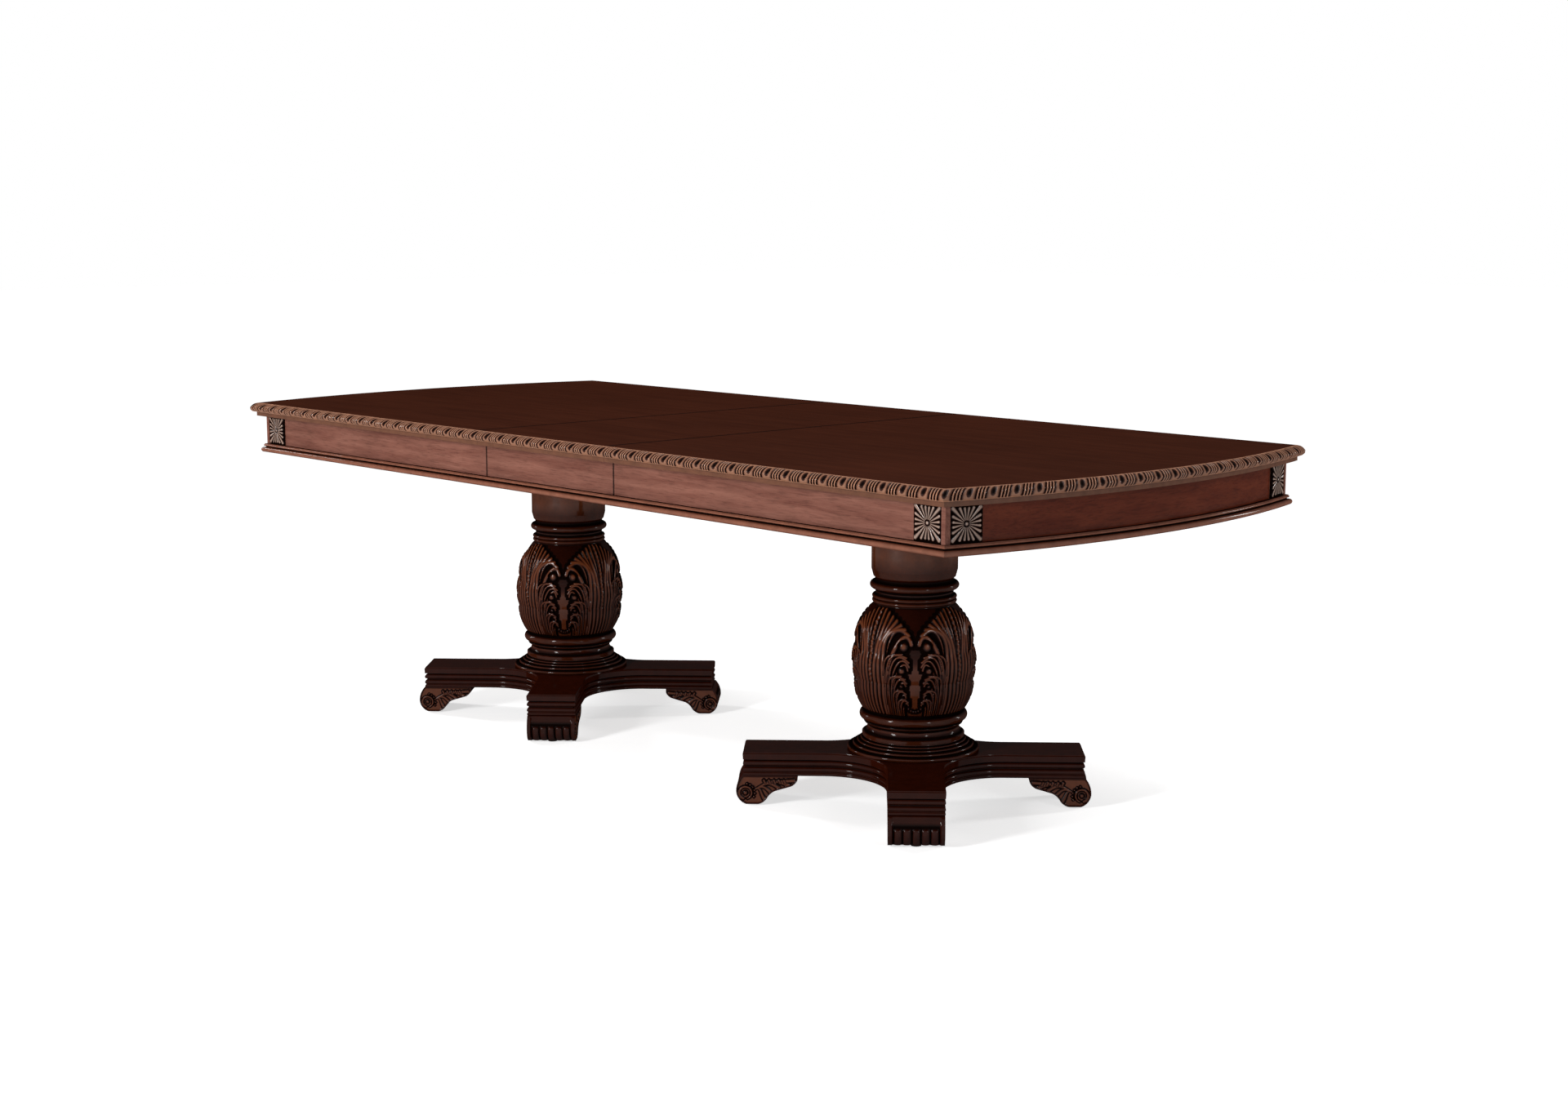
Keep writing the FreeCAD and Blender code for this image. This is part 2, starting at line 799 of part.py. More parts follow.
def acanthus(body, name, tall):
    """Four bundles of raised ribs on the urn, and the curls between them."""
    upright = (next(item for item in body.Origin.OriginFeatures if item.Role == "Z_Axis"), [""])
    foot_r, foot_z = RIB_FOOT_SHARES
    for step in range(1 - len(RIB_TOPS), len(RIB_TOPS)):
        top_r, top_z, top_turn = RIB_TOPS[abs(step)]
        label = f"{name}_rib_{step + len(RIB_TOPS)}"
        rib = new_sketch(body, "XZ_Plane", label)
        turned_plane(rib, step * RIB_SPACING)
        corners = [
            (size.urn_radius * RIB_ROOT_SHARE, tall * foot_z),
            (size.urn_radius * foot_r, tall * foot_z, RIB_FOOT_TURN),
            (size.urn_radius, tall * RIB_BELLY_SHARE, top_turn),
            (size.urn_radius * top_r, tall * top_z),
            (size.urn_radius * RIB_ROOT_SHARE, tall * top_z),
        ]
        outline(rib, corners)
        raised = turned(body, rib, f"{label}_turning", RIB_TURN)
        ring_of(body, raised, upright, f"{label}_ring", BUNDLES)
    for number, (turn, up, reach, share) in enumerate(CURLS, start=1):
        for side in (-1, 1):
            label = f"{name}_curl_{number}_{'left' if side < 0 else 'right'}"
            knob = body.newObject("PartDesign::AdditiveSphere", label)
            angle = math.radians(QUARTER_TURN / 2 + turn * side)
            bind(knob, "Radius", size.curl_radius * share)
            bind(knob, "Placement.Base.x", size.urn_radius * (reach * math.cos(angle)))
            bind(knob, "Placement.Base.y", size.urn_radius * (reach * math.sin(angle)))
            bind(knob, "Placement.Base.z", tall * up)
            body.Tip = knob
            ring_of(body, knob, upright, f"{label}_ring", BUNDLES)


def column(end):
    """The turned column with its carved urn, bored for the rod that ties the pedestal together."""
    name = f"{end_name(end)}_column"
    body = new_body(name)
    half = new_sketch(body, "XZ_Plane", f"{name}_profile")
    tall = plate_bottom - column_bottom
    corners = [(size.bore_radius, 0)]
    corners += [(size.urn_radius * r, tall * z, bend) for r, z, bend in COLUMN_SHARES]
    corners += [(size.bore_radius, tall)]
    outline(half, corners)
    turned(body, half, f"{name}_turning")
    acanthus(body, name, tall)
    place(body, end, x=pedestal_x, z=column_bottom)
    return node(name, body)


ring_steps = 4
ring_top_share = 0.76
ring_bead_turn = 110


def base_ring(end):
    """Stepped rings that spread the column's foot on the platform."""
    name = f"{end_name(end)}_base_ring"
    body = new_body(name)
    half = new_sketch(body, "XZ_Plane", f"{name}_profile")
    corners = [(size.bore_radius, 0)]
    step = size.ring_radius * (1 - ring_top_share) / (ring_steps - 1)
    for index in range(ring_steps):
        radius = size.ring_radius - step * index
        corners.append((radius, size.ring_height * (index / ring_steps), ring_bead_turn))
        corners.append((radius, size.ring_height * ((index + 1) / ring_steps)))
    corners.append((size.bore_radius, size.ring_height))
    outline(half, corners)
    turned(body, half, f"{name}_turning")
    place(body, end, x=pedestal_x, z=platform_top)
    return node(name, body)


def platform_outline(inset):
    """A cross of four arms, drawn square to its own axes, whose crotches are hollow arcs."""
    half = size.arm_width / 2 - inset
    tip = size.arm_reach - inset
    crotch = size.arm_width / 2 + size.crotch_radius
    corners = []
    for turn_x, turn_y in ((1, 0), (0, 1), (-1, 0), (0, -1)):
        arm = [(tip, -half), (tip, half), (crotch, half, -QUARTER_TURN)]
        for point in arm:
            x = point[0] * turn_x - point[1] * turn_y
            y = point[0] * turn_y + point[1] * turn_x
            corners.append((x, y, *point[2:]))
        next_x = half * turn_x - crotch * turn_y
        next_y = half * turn_y + crotch * turn_x
        corners.append((next_x, next_y))
    return corners


# The reeds round the platform's edge from the bottom up, as shares of its thickness, and the
# outline of one reed: how far up it, and how far its edge lies in, as a share of half the reed
REED_SHARES = [0.12, 0.28, 0.12, 0.28]
REED_SECTION_SHARES = [(0.0, 1.0), (0.2, 0.25), (0.8, 0.25)]


def platform(end):
    """The cross-shaped platform with a reeded edge, its arms along the diagonals."""
    name = f"{end_name(end)}_platform"
    body = new_body(name)
    levels = []
    height = as_size(0)
    for share in REED_SHARES:
        thick = size.platform_thickness * share
        levels += [(height + thick * up, thick * inward / 2) for up, inward in REED_SECTION_SHARES]
        height = height + thick
    levels += [(height, levels[0][1]), (height, as_size(0)), (size.platform_thickness, as_size(0))]
    plans = []
    for index, (level, inset) in enumerate(levels):
        plan = new_sketch(body, "XY_Plane", f"{name}_plan_{index + 1}")
        plan.AttachmentOffset = Placement(Vector(0, 0, level.value), Rotation())
        bind(plan, "AttachmentOffset.Base.z", level)
        outline(plan, platform_outline(inset))
        plans.append(plan)
    edge = body.newObject("PartDesign::AdditiveLoft", f"{name}_reeded_edge")
    edge.Profile = plans[0]
    edge.Sections = plans[1:-2]
    edge.Ruled = True
    board = new_sketch(body, "XY_Plane", f"{name}_bore")
    circle(board, 0, 0, size.bore_radius)
    rim = body.newObject("PartDesign::AdditiveLoft", f"{name}_plain_edge")
    rim.Profile = plans[-2]
    rim.Sections = plans[-1:]
    rim.Ruled = True
    body.Tip = rim
    cut_through(body, board, f"{name}_bore_cut")
    place(body, end, x=pedestal_x, z=platform_bottom, turn=QUARTER_TURN / 2)
    return node(name, body)


def tie_rod(end):
    """A threaded rod from under the platform to above the plate, with a nut at each end."""
    name = f"{end_name(end)}_tie_rod"
    rod = doc.addObject("Part::Cylinder", f"{name}_bar")
    start = platform_bottom - size.nut_height
    finish = bearer_bottom + size.nut_height
    bind(rod, "Radius", size.rod_radius)
    bind(rod, "Height", finish - start)
    place(rod, end, x=pedestal_x, z=start)
    pieces = [rod]
    for label, height in (("lower", start), ("upper", bearer_bottom)):
        nut = doc.addObject("Part::Prism", f"{name}_{label}_nut")
        nut.Polygon = 6
        bind(nut, "Circumradius", size.nut_radius)
        bind(nut, "Height", size.nut_height)
        place(nut, end, x=pedestal_x, z=height)
        pieces.append(nut)
    whole = doc.addObject("Part::MultiFuse", name)
    whole.Shapes = pieces
    return node(name, whole)


# A foot's side, as shares of its length out from its inner end and of its height, with the turn
# of the arc to the next point: the tail, the belly and the flat that it stands on, then the scroll
TAIL_SHARES = [
    (0.0, 1.0, 0),
    (0.0, 0.86, 50),
    (0.12, 0.62, 0),
    (0.36, 0.47, -40),
    (0.50, 0.20, 45),
    (0.64, 0.0, 0),
]
SCROLL_SHARES = [
    (0.835, 0.0, 75),
    (1.0, 0.50, 40),
    (0.90, 1.0, 0),
]
FOOT_REEDS = 7
reed_root_share = 0.6
volute_share = (0.86, 0.40)


def foot_corners(shares):
    return [(size.foot_inner + size.foot_length * x, size.foot_height * z, bend) for x, z, bend in shares]


def scroll_foot(end, index):
    """One of the four scroll feet, standing under an arm of the platform."""
    side = 1 if index < 2 else -1
    row = row_name(end, side)
    place_name = "inner" if index in (1, 2) else "outer"
    name = f"{end_name(end)}_{row}_{place_name}_foot"
    body = new_body(name)
    profile = new_sketch(body, "XZ_Plane", f"{name}_side")
    tail = foot_corners(TAIL_SHARES)
    scroll = foot_corners(SCROLL_SHARES)
    core = [(x - size.foot_reed_rise, z, bend) for x, z, bend in scroll]
    outline(profile, tail + core)
    pad(body, profile, size.foot_width, f"{name}_width", both_ways=True)
    reed_step = (size.foot_width + size.foot_reed_gap) / FOOT_REEDS
    reed_width = reed_step - size.foot_reed_gap
    front = new_sketch(body, "XZ_Plane", f"{name}_reed")
    first = (reed_width - size.foot_width) / 2
    front.AttachmentOffset = Placement(Vector(0, 0, first.value), Rotation())
    bind(front, "AttachmentOffset.Base.z", first)
    root_x = size.foot_inner + size.foot_length * reed_root_share
    outline(front, [(root_x, as_size(0))] + scroll + [(root_x, size.foot_height)])
    raised = pad(body, front, reed_width, f"{name}_reed_pad", both_ways=True)
    reeds = body.newObject("PartDesign::LinearPattern", f"{name}_reeds")
    reeds.Originals = [raised]
    reeds.Direction = (front, ["N_Axis"])
    bind(reeds, "Length", reed_step * (FOOT_REEDS - 1))
    reeds.Occurrences = FOOT_REEDS
    body.Tip = reeds
    for label, flank in (("one", size.foot_width / 2), ("other", -size.foot_width / 2)):
        volute = new_sketch(body, "XZ_Plane", f"{name}_volute_{label}")
        volute.AttachmentOffset = Placement(Vector(0, 0, flank.value), Rotation())
        bind(volute, "AttachmentOffset.Base.z", flank)
        (eye_x, eye_z, _), = foot_corners([(*volute_share, 0)])
        circle(volute, eye_x, eye_z, size.volute_radius)
        circle(volute, eye_x, eye_z, size.volute_radius - size.volute_groove)
        cut(body, volute, size.volute_depth * 2, f"{name}_volute_{label}_cut")
    place(body, end, x=pedestal_x, z=size.glide_height, turn=QUARTER_TURN * index + QUARTER_TURN / 2)
    return node(name, body)


glide_reach_share = 0.7375


def glides(end):
    """Round glides under the flats of the four feet."""
    members = []
    reach = size.foot_inner + size.foot_length * glide_reach_share
    for index in range(4):
        disc = doc.addObject("Part::Cylinder", f"{end_name(end)}_glide_{index + 1}")
        bind(disc, "Radius", size.glide_radius)
        bind(disc, "Height", size.glide_height)
        diagonal = math.sqrt(0.5)
        x = reach * diagonal * (1 if index in (0, 3) else -1)
        y = reach * diagonal * (1 if index < 2 else -1)
        place(disc, end, x=pedestal_x + x, y=y)
        members.append(disc)
    return group(f"{end_name(end)}_glides", members)


def screws(end):
    """Screws with flat heads that hold the plate to the bearers."""
    members = []
    for index, (x, y) in enumerate(screw_places(), start=1):
        name = f"{end_name(end)}_screw_{index}"
        head = doc.addObject("Part::Cylinder", f"{name}_head")
        bind(head, "Radius", size.screw_head)
        bind(head, "Height", size.screw_head_height)
        place(head, end, x=pedestal_x + x, y=y, z=plate_bottom - size.screw_head_height)
        shank = doc.addObject("Part::Cylinder", f"{name}_shank")
        bind(shank, "Radius", size.screw_radius)
        bind(shank, "Height", size.screw_length)
        place(shank, end, x=pedestal_x + x, y=y, z=plate_bottom - size.screw_head_height)
        whole = doc.addObject("Part::Fuse", name)
        whole.Base = head
        whole.Tool = shank
        members.append(whole)
    return group(f"{end_name(end)}_screws", members)


def leaf_bar(name, profile, side, gadroons=False):
    """A straight moulding or board along one long side of the leaf."""
    body = new_body(name)
    section = new_sketch(body, "YZ_Plane", f"{name}_section")
    outline(section, profile, mirror=side < 0)
    pad(body, section, size.leaf_length, f"{name}_length")
    if gadroons:
        gouge_row(body, name, size.leaf_length, LEAF_LOBES, side < 0)
    place(body, x=-size.leaf_length / 2)
    return node(name, body)


def leaf():
    reach = half_width - size.panel_inset
    board = block("leaf_panel", size.leaf_length, reach * 2, size.panel_thickness)
    place(board, x=-size.leaf_length / 2, y=-reach, z=underside)
    node("leaf_panel", board)
    face = half_width - size.apron_setback
    back = half_width - size.frame_setback
    apron = [(back, apron_bottom), (face, apron_bottom), (face, edge_bottom), (back, edge_bottom)]
    for side, row in ((-1, "near"), (1, "far")):
        leaf_bar(f"leaf_{row}_edge_moulding", edge_profile(half_width), side, gadroons=True)
        leaf_bar(f"leaf_{row}_apron", apron, side)
        leaf_bar(f"leaf_{row}_base_moulding", base_profile(half_width), side)
    slides_end = size.slide_offset + size.slide_width * 3 + size.slide_gap * 3
    cleats = []
    for side in (-1, 1):
        near_y = slides_end if side > 0 else -back
        for along in (-1, 1):
            name = f"leaf_cleat_{len(cleats) + 1}"
            cleat = block(name, size.cleat_width, back - slides_end, size.cleat_depth)
            near_x = size.cleat_offset * along - size.cleat_width / 2
            place(cleat, x=near_x, y=near_y, z=underside - size.cleat_depth)
            cleats.append(cleat)
    group("leaf_cleats", cleats)


def table_end(end):
    """Every piece of one end of the table with its pedestal."""
    name = end_name(end)
    top_panel(end)
    bowed_moulding(f"{name}_end_edge_moulding", edge_profile, end, gadroons=True)
    bowed_moulding(f"{name}_end_base_moulding", base_profile, end)
    end_apron(end)
    arris_x, _ = corner(size.block_setback)
    apron_length = bow_centre + arris_x - size.block_length - seam
    blocks = []
    rails = []
    for side in (-1, 1):
        row = row_name(end, side)
        side_moulding(f"{name}_{row}_edge_moulding", edge_profile, end, side, gadroons=True)
        side_moulding(f"{name}_{row}_base_moulding", base_profile, end, side)
        side_apron(f"{name}_{row}_apron", end, side, seam, apron_length)
        blocks.append(corner_block(end, side))
        rails.append(slide_rail(end, side))
    group(f"{name}_corner_blocks", blocks)
    group(f"{name}_slides", rails)
    rosettes(end)
    bearers(end)
    mounting_plate(end)
    column(end)
    base_ring(end)
    platform(end)
    tie_rod(end)
    for index in range(4):
        scroll_foot(end, index)
    glides(end)
    screws(end)


for end in ENDS.values():
    table_end(end)
leaf()
for side in (-1, 1):
    slide_runner(side)
doc.recompute()

broken = [thing.Name for thing in doc.Objects if {"Invalid", "Error"} & set(thing.State)]
if broken:
    raise SystemExit(f"these objects failed: {broken}")
for name, thing in nodes.items():
    if thing.Shape.isNull() or not thing.Shape.isValid():
        raise SystemExit(f"{name} has no valid shape")

os.makedirs("parts", exist_ok=True)
for name, thing in nodes.items():
    thing.Shape.exportStep(f"parts/{name}.step")
print(f"{len(nodes)} pieces written")
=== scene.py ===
# %% [markdown]
# # An extending dining table on two carved pedestals
#
# The table has a bowed end left and right, a leaf between them, and a mahogany finish that is
# rubbed thin on the high places and left dark in the hollows. The light crests are also a painted
# highlight, and the dark hollows also a painted shade. The plain joinery comes from the CAD frame
# and only takes a finish here. The carving is what a drawing of solids leaves out, so the
# mouldings, rosettes, columns, platforms and feet are built again as fine meshes.

# %% The frame and its box
import math

import bpy
import numpy as np
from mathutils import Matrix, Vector
from mathutils.geometry import delaunay_2d_cdt


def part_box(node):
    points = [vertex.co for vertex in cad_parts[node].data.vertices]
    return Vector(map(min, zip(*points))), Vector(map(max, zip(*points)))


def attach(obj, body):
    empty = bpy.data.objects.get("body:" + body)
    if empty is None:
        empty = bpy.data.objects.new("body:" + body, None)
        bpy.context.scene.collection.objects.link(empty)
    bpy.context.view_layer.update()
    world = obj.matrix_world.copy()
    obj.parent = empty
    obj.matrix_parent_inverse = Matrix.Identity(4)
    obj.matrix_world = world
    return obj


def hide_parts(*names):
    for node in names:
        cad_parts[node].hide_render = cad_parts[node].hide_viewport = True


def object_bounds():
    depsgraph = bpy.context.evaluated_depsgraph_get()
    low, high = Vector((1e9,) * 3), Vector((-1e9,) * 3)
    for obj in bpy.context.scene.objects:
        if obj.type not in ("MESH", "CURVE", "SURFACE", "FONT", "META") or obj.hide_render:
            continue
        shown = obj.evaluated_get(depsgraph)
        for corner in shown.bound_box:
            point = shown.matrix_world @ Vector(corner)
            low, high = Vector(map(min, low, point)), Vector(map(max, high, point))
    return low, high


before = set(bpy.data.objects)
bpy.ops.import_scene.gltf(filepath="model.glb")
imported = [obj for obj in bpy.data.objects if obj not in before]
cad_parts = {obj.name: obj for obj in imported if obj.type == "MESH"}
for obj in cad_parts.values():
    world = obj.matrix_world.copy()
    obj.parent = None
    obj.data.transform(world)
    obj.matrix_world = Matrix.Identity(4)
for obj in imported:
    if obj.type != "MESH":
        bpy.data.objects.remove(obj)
cad_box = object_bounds()
print("CAD box from", [round(v, 4) for v in cad_box[0]], "to", [round(v, 4) for v in cad_box[1]])

# %% [markdown]
# ## The driving sizes
#
# A joiner sets out the whole top from a few lines: its length and width, the rise of the bowed
# ends, and how far each moulding is set in from the outermost edge. The same few sizes are kept
# here, in metres, and the rest is worked out from them and from the boxes of the CAD nodes.

# %% Sizes of the top
MM = 0.001
highest = Vector(cad_box[1])
table_height = highest.z
half_width = highest.y
half_length = highest.x
leaf_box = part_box("leaf_panel")
half_leaf = leaf_box[1][0]
seam_gap = 0.4 * MM
seam = half_leaf + seam_gap
bow_rise = 84 * MM
bow_radius = (half_width**2 + bow_rise**2) / (2 * bow_rise)
bow_centre = half_length - bow_radius
frame_setback = 62 * MM
print(f"bow radius {bow_radius:.3f} m, seam at {seam:.4f} m")


def on_bow(setback, y):
    """How far from the bow's centre the line inside the bowed edge lies at y."""
    return np.sqrt((bow_radius - setback) ** 2 - np.asarray(y) ** 2)


def corner(setback):
    """The corner of the line set in from the edge, measured from the bow's centre."""
    y = half_width - setback
    return np.array([float(on_bow(setback, y)), y])


# %% [markdown]
# ## Meshes from grids of points
#
# Turned and moulded work is a profile carried along a path, so nearly every piece here is a grid
# of points: one row for each station on the path and one column for each point of the profile.
# Carving is then a depth at each grid point, pushed in along the profile's normal. The depth is
# also kept as a value at each point, which the finish turns into glaze and painted shade in the
# hollows and a painted highlight on the crests.


# %% Grid helpers
def grid_faces(rows, columns, wrap_rows=False, wrap_columns=True):
    """Quads that join a grid of points, with its edges joined up where asked."""
    index = np.arange(rows * columns).reshape(rows, columns)
    if wrap_rows:
        index = np.vstack([index, index[:1]])
    if wrap_columns:
        index = np.hstack([index, index[:, :1]])
    corners = (index[:-1, :-1], index[1:, :-1], index[1:, 1:], index[:-1, 1:])
    return np.stack([c.ravel() for c in corners], axis=1)


def make_piece(node, body, points, faces, finish, glaze_and_shade, sharp=50):
    """A smooth mesh object that rides on a body and stands for the CAD node it replaces."""
    name = f"carved_{node}"
    mesh = bpy.data.meshes.new(name)
    mesh.from_pydata(np.asarray(points, float).reshape(-1, 3), [], faces)
    mesh.update()
    # The value kept at each point darkens the finish in hollows, as glaze and painted shade, and lightens it on
    # crests, as a painted highlight.
    layer = mesh.attributes.new("glaze_and_shade", "FLOAT", "POINT")
    layer.data.foreach_set("value", np.asarray(glaze_and_shade, np.float32).ravel())
    mesh.shade_smooth()
    mesh.set_sharp_from_angle(angle=math.radians(sharp))
    mesh.materials.append(finish)
    piece = bpy.data.objects.new(name, mesh)
    bpy.context.scene.collection.objects.link(piece)
    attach(piece, body)
    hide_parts(node)


def smooth_step(low, high, value):
    """0 below low, 1 above high, and a smooth rise between them."""
    t = np.clip((value - low) / (high - low), 0, 1)
    return t * t * (3 - 2 * t)


def arc(start, finish, bend, step):
    """Points from start up to finish on an arc that turns left by bend degrees."""
    start = np.asarray(start, float)
    finish = np.asarray(finish, float)
    chord = finish - start
    length = np.linalg.norm(chord)
    if bend == 0:
        count = max(1, int(round(length / step)))
        return start + np.outer(np.arange(count) / count, chord)
    half = math.radians(bend) / 2
    radius = length / 2 / math.sin(abs(half))
    left = np.array([-chord[1], chord[0]]) / length
    centre = (start + finish) / 2 + left * radius * math.cos(half) * np.sign(bend)
    count = max(2, int(round(radius * abs(2 * half) / step)))
    turns = np.arange(count) / count * 2 * half
    spoke = start - centre
    cos, sin = np.cos(turns), np.sin(turns)
    return centre + np.stack([spoke[0] * cos - spoke[1] * sin, spoke[0] * sin + spoke[1] * cos], axis=1)


def outline(corners, steps):
    """A closed outline from corners (x, y, bend), with the spacing of the points on each edge."""
    parts = []
    for index, (x, y, bend) in enumerate(corners):
        after = corners[(index + 1) % len(corners)]
        step = steps[index] if isinstance(steps, (list, tuple)) else steps
        parts.append(arc((x, y), after[:2], bend, step))
    return np.vstack(parts)


print("grid helpers ready")

# %% [markdown]
# ## Finishes
#
# The real finish is a brown stain, a dark glaze wiped over it and left in the hollows, and a clear
# gloss on top. Each material is a Principled shader whose colour comes from stretched noise for the
# grain and from the value kept at each point: near black in the hollows, as glaze and painted
# shade, and pale on the crests, as a painted highlight. The gloss is a coat that fades where the
# surface is seen edge on, because a white room would otherwise lay a grey veil over such dark wood.


# %% Material helpers
def set_inputs(node, **values):
    """Sets a node's inputs by name, with _ for each space."""
    for name, value in values.items():
        node.inputs[name.replace("_", " ")].default_value = value


def new_finish(name, roughness, coat_roughness=0.08):
    """A Principled material with its even values set on the shader."""
    finish = bpy.data.materials.new(name)
    finish.use_nodes = True
    shader = finish.node_tree.nodes["Principled BSDF"]
    set_inputs(shader, Roughness=roughness, Specular_IOR_Level=0.0, Coat_Roughness=coat_roughness)
    return finish, finish.node_tree, shader


def math_node(tree, operation, first, second):
    """A math node whose inputs are numbers or sockets."""
    node = tree.nodes.new("ShaderNodeMath")
    node.operation = operation
    for socket, item in zip(node.inputs, (first, second)):
        if isinstance(item, bpy.types.NodeSocket):
            tree.links.new(item, socket)
        else:
            socket.default_value = item
    return node.outputs[0]


coat_fade = 1.6


def gloss(tree, shader, amount, hollow=None):
    """A clear coat, thinner where it is seen edge on and in the hollows."""
    weight = tree.nodes.new("ShaderNodeLayerWeight")
    front = math_node(tree, "SUBTRACT", 1.0, weight.outputs["Facing"])
    coat = math_node(tree, "MULTIPLY", math_node(tree, "POWER", front, coat_fade), amount)
    if hollow is not None:
        coat = math_node(tree, "MULTIPLY", coat, math_node(tree, "SUBTRACT", 1.0, hollow))
    tree.links.new(coat, shader.inputs["Coat Weight"])


def noise(tree, scale, stretch=(1, 1, 1), detail=5.0, roughness=0.55, distortion=0.0):
    """Noise in the object's own space, stretched along the axes."""
    place = tree.nodes.new("ShaderNodeTexCoord")
    mapping = tree.nodes.new("ShaderNodeMapping")
    mapping.inputs["Scale"].default_value = stretch
    texture = tree.nodes.new("ShaderNodeTexNoise")
    set_inputs(texture, Scale=scale, Detail=detail, Roughness=roughness, Distortion=distortion)
    tree.links.new(place.outputs["Object"], mapping.inputs["Vector"])
    tree.links.new(mapping.outputs["Vector"], texture.inputs["Vector"])
    return texture.outputs["Fac"]


def ramp(tree, value, stops):
    """Colours or greys picked by a value, from stops (place, colour)."""
    node = tree.nodes.new("ShaderNodeValToRGB")
    tree.links.new(value, node.inputs["Fac"])
    elements = node.color_ramp.elements
    while len(elements) < len(stops):
        elements.new(0.5)
    for element, (where, colour) in zip(elements, stops):
        element.position = where
        element.color = (*colour, 1)
    return node.outputs["Color"]


def darken(tree, amount, colour, tint):
    """Darkens a colour by a tint, as strongly as amount says."""
    node = tree.nodes.new("ShaderNodeMix")
    node.data_type = "RGBA"
    node.blend_type = "MULTIPLY"
    factor, first, second = node.inputs[0], node.inputs[6], node.inputs[7]
    factor.default_value = amount
    tree.links.new(colour, first)
    tree.links.new(tint, second)
    return node.outputs[2]


def grey(level):
    """A grey as a colour."""
    return (level, level, level)


def bump(tree, shader, height, strength, distance):
    """Fine relief that only the light sees."""
    node = tree.nodes.new("ShaderNodeBump")
    set_inputs(node, Strength=strength, Distance=distance)
    tree.links.new(height, node.inputs["Height"])
    tree.links.new(node.outputs["Normal"], shader.inputs["Normal"])


print("material helpers ready")


# %% Board finishes
def length_along(tree, kind):
    """How far a place, or how much a normal, goes along X, whatever its sign."""
    place = tree.nodes.new("ShaderNodeTexCoord")
    axes = tree.nodes.new("ShaderNodeSeparateXYZ")
    tree.links.new(place.outputs[kind], axes.inputs[0])
    return math_node(tree, "ABSOLUTE", axes.outputs["X"], 0.0)


def seam_shade(tree, seam_width):
    """Dark in a narrow line at the two seams beside the leaf, but not on the joint faces themselves."""
    across = length_along(tree, "Object")
    away = math_node(tree, "ABSOLUTE", math_node(tree, "SUBTRACT", across, half_leaf + seam_gap / 2), 0.0)
    joint_face = math_node(tree, "MULTIPLY", length_along(tree, "Normal"), seam_width)
    away = math_node(tree, "MAXIMUM", away, joint_face)
    return ramp(tree, math_node(tree, "DIVIDE", away, seam_width), [(0.55, grey(0.12)), (1.0, grey(1.0))])


board_coat_roughness = 0.2
grain_scale = 9.0
pore_scale = 60.0
cloud_depth = 0.8
pore_dullness = 0.12
pore_bump = (0.06, 0.4 * MM)


def board_finish(
    name, dark, light, stretch, roughness, shine, cloud_scale=6.0, pore_depth=0.55, seam_width=3.2 * MM
):
    """Straight-grained board or veneer under a clear finish."""
    finish, tree, shader = new_finish(name, roughness, board_coat_roughness)
    grain = noise(tree, grain_scale, stretch, detail=7, roughness=0.6, distortion=0.4)
    pores = noise(tree, pore_scale, stretch, detail=3, roughness=0.6)
    cloud = noise(tree, cloud_scale, detail=2)
    colour = ramp(tree, grain, [(0.3, dark), (0.7, light)])
    pore_tint = ramp(tree, pores, [(0.36, grey(0.55)), (0.5, grey(1.0))])
    cloud_tint = ramp(tree, cloud, [(0.3, grey(0.78)), (0.7, grey(1.0))])
    colour = darken(tree, pore_depth, colour, pore_tint)
    colour = darken(tree, cloud_depth, colour, cloud_tint)
    colour = darken(tree, 1.0, colour, seam_shade(tree, seam_width))
    tree.links.new(colour, shader.inputs["Base Color"])
    sheen = ramp(tree, pores, [(0.3, grey(roughness + pore_dullness)), (0.6, grey(roughness))])
    tree.links.new(sheen, shader.inputs["Roughness"])
    bump(tree, shader, pores, *pore_bump)
    gloss(tree, shader, shine)
    return finish


# The noise is stretched along the board, and the end aprons' boards run along Y.
ALONG_X = (0.5, 6, 6)
ALONG_Y = (6, 0.5, 6)
APRON_DARK = (0.135, 0.047, 0.033)
APRON_LIGHT = (0.245, 0.103, 0.074)
# The end aprons are the same wood as the side aprons, darker here as painted shade for the dimmer light on the
# ends.
END_SHADED_DARK = (0.085, 0.014, 0.006)
END_SHADED_LIGHT = (0.145, 0.030, 0.013)
RAW_DARK = (0.20, 0.11, 0.055)
RAW_LIGHT = (0.33, 0.20, 0.11)
VENEER_DARK = (0.039, 0.0088, 0.0036)
VENEER_LIGHT = (0.056, 0.0135, 0.0058)
LACQUER = dict(roughness=0.3, shine=0.3, cloud_scale=2.0, pore_depth=0.2, seam_width=6 * MM)
SATIN = dict(roughness=0.36, shine=0.25)
BARE = dict(roughness=0.62, shine=0.0)
veneer = board_finish("top_veneer", VENEER_DARK, VENEER_LIGHT, ALONG_X, **LACQUER)
apron = board_finish("apron_finish", APRON_DARK, APRON_LIGHT, ALONG_X, **SATIN)
# A darker copy of the aprons' finish, as painted shade.
end_apron = board_finish("end_apron_shaded_finish", END_SHADED_DARK, END_SHADED_LIGHT, ALONG_Y, **SATIN)
inner_wood = board_finish("inner_wood", RAW_DARK, RAW_LIGHT, ALONG_X, **BARE)
inner_cross = board_finish("inner_cross_wood", RAW_DARK, RAW_LIGHT, ALONG_Y, **BARE)
print(len(bpy.data.materials), "board finishes")


# %% Carved finishes
GROUND = 0.4
HOLLOW = 0.85
# The hollows' near-black is glaze and painted shade together.
BLACK_GLAZE_AND_SHADE = (0.0040, 0.0014, 0.0010)
mottle_scale = 45.0
mottle_bump = (0.05, 0.5 * MM)
hollow_dullness = 0.3
carved_coat_roughness = 0.1


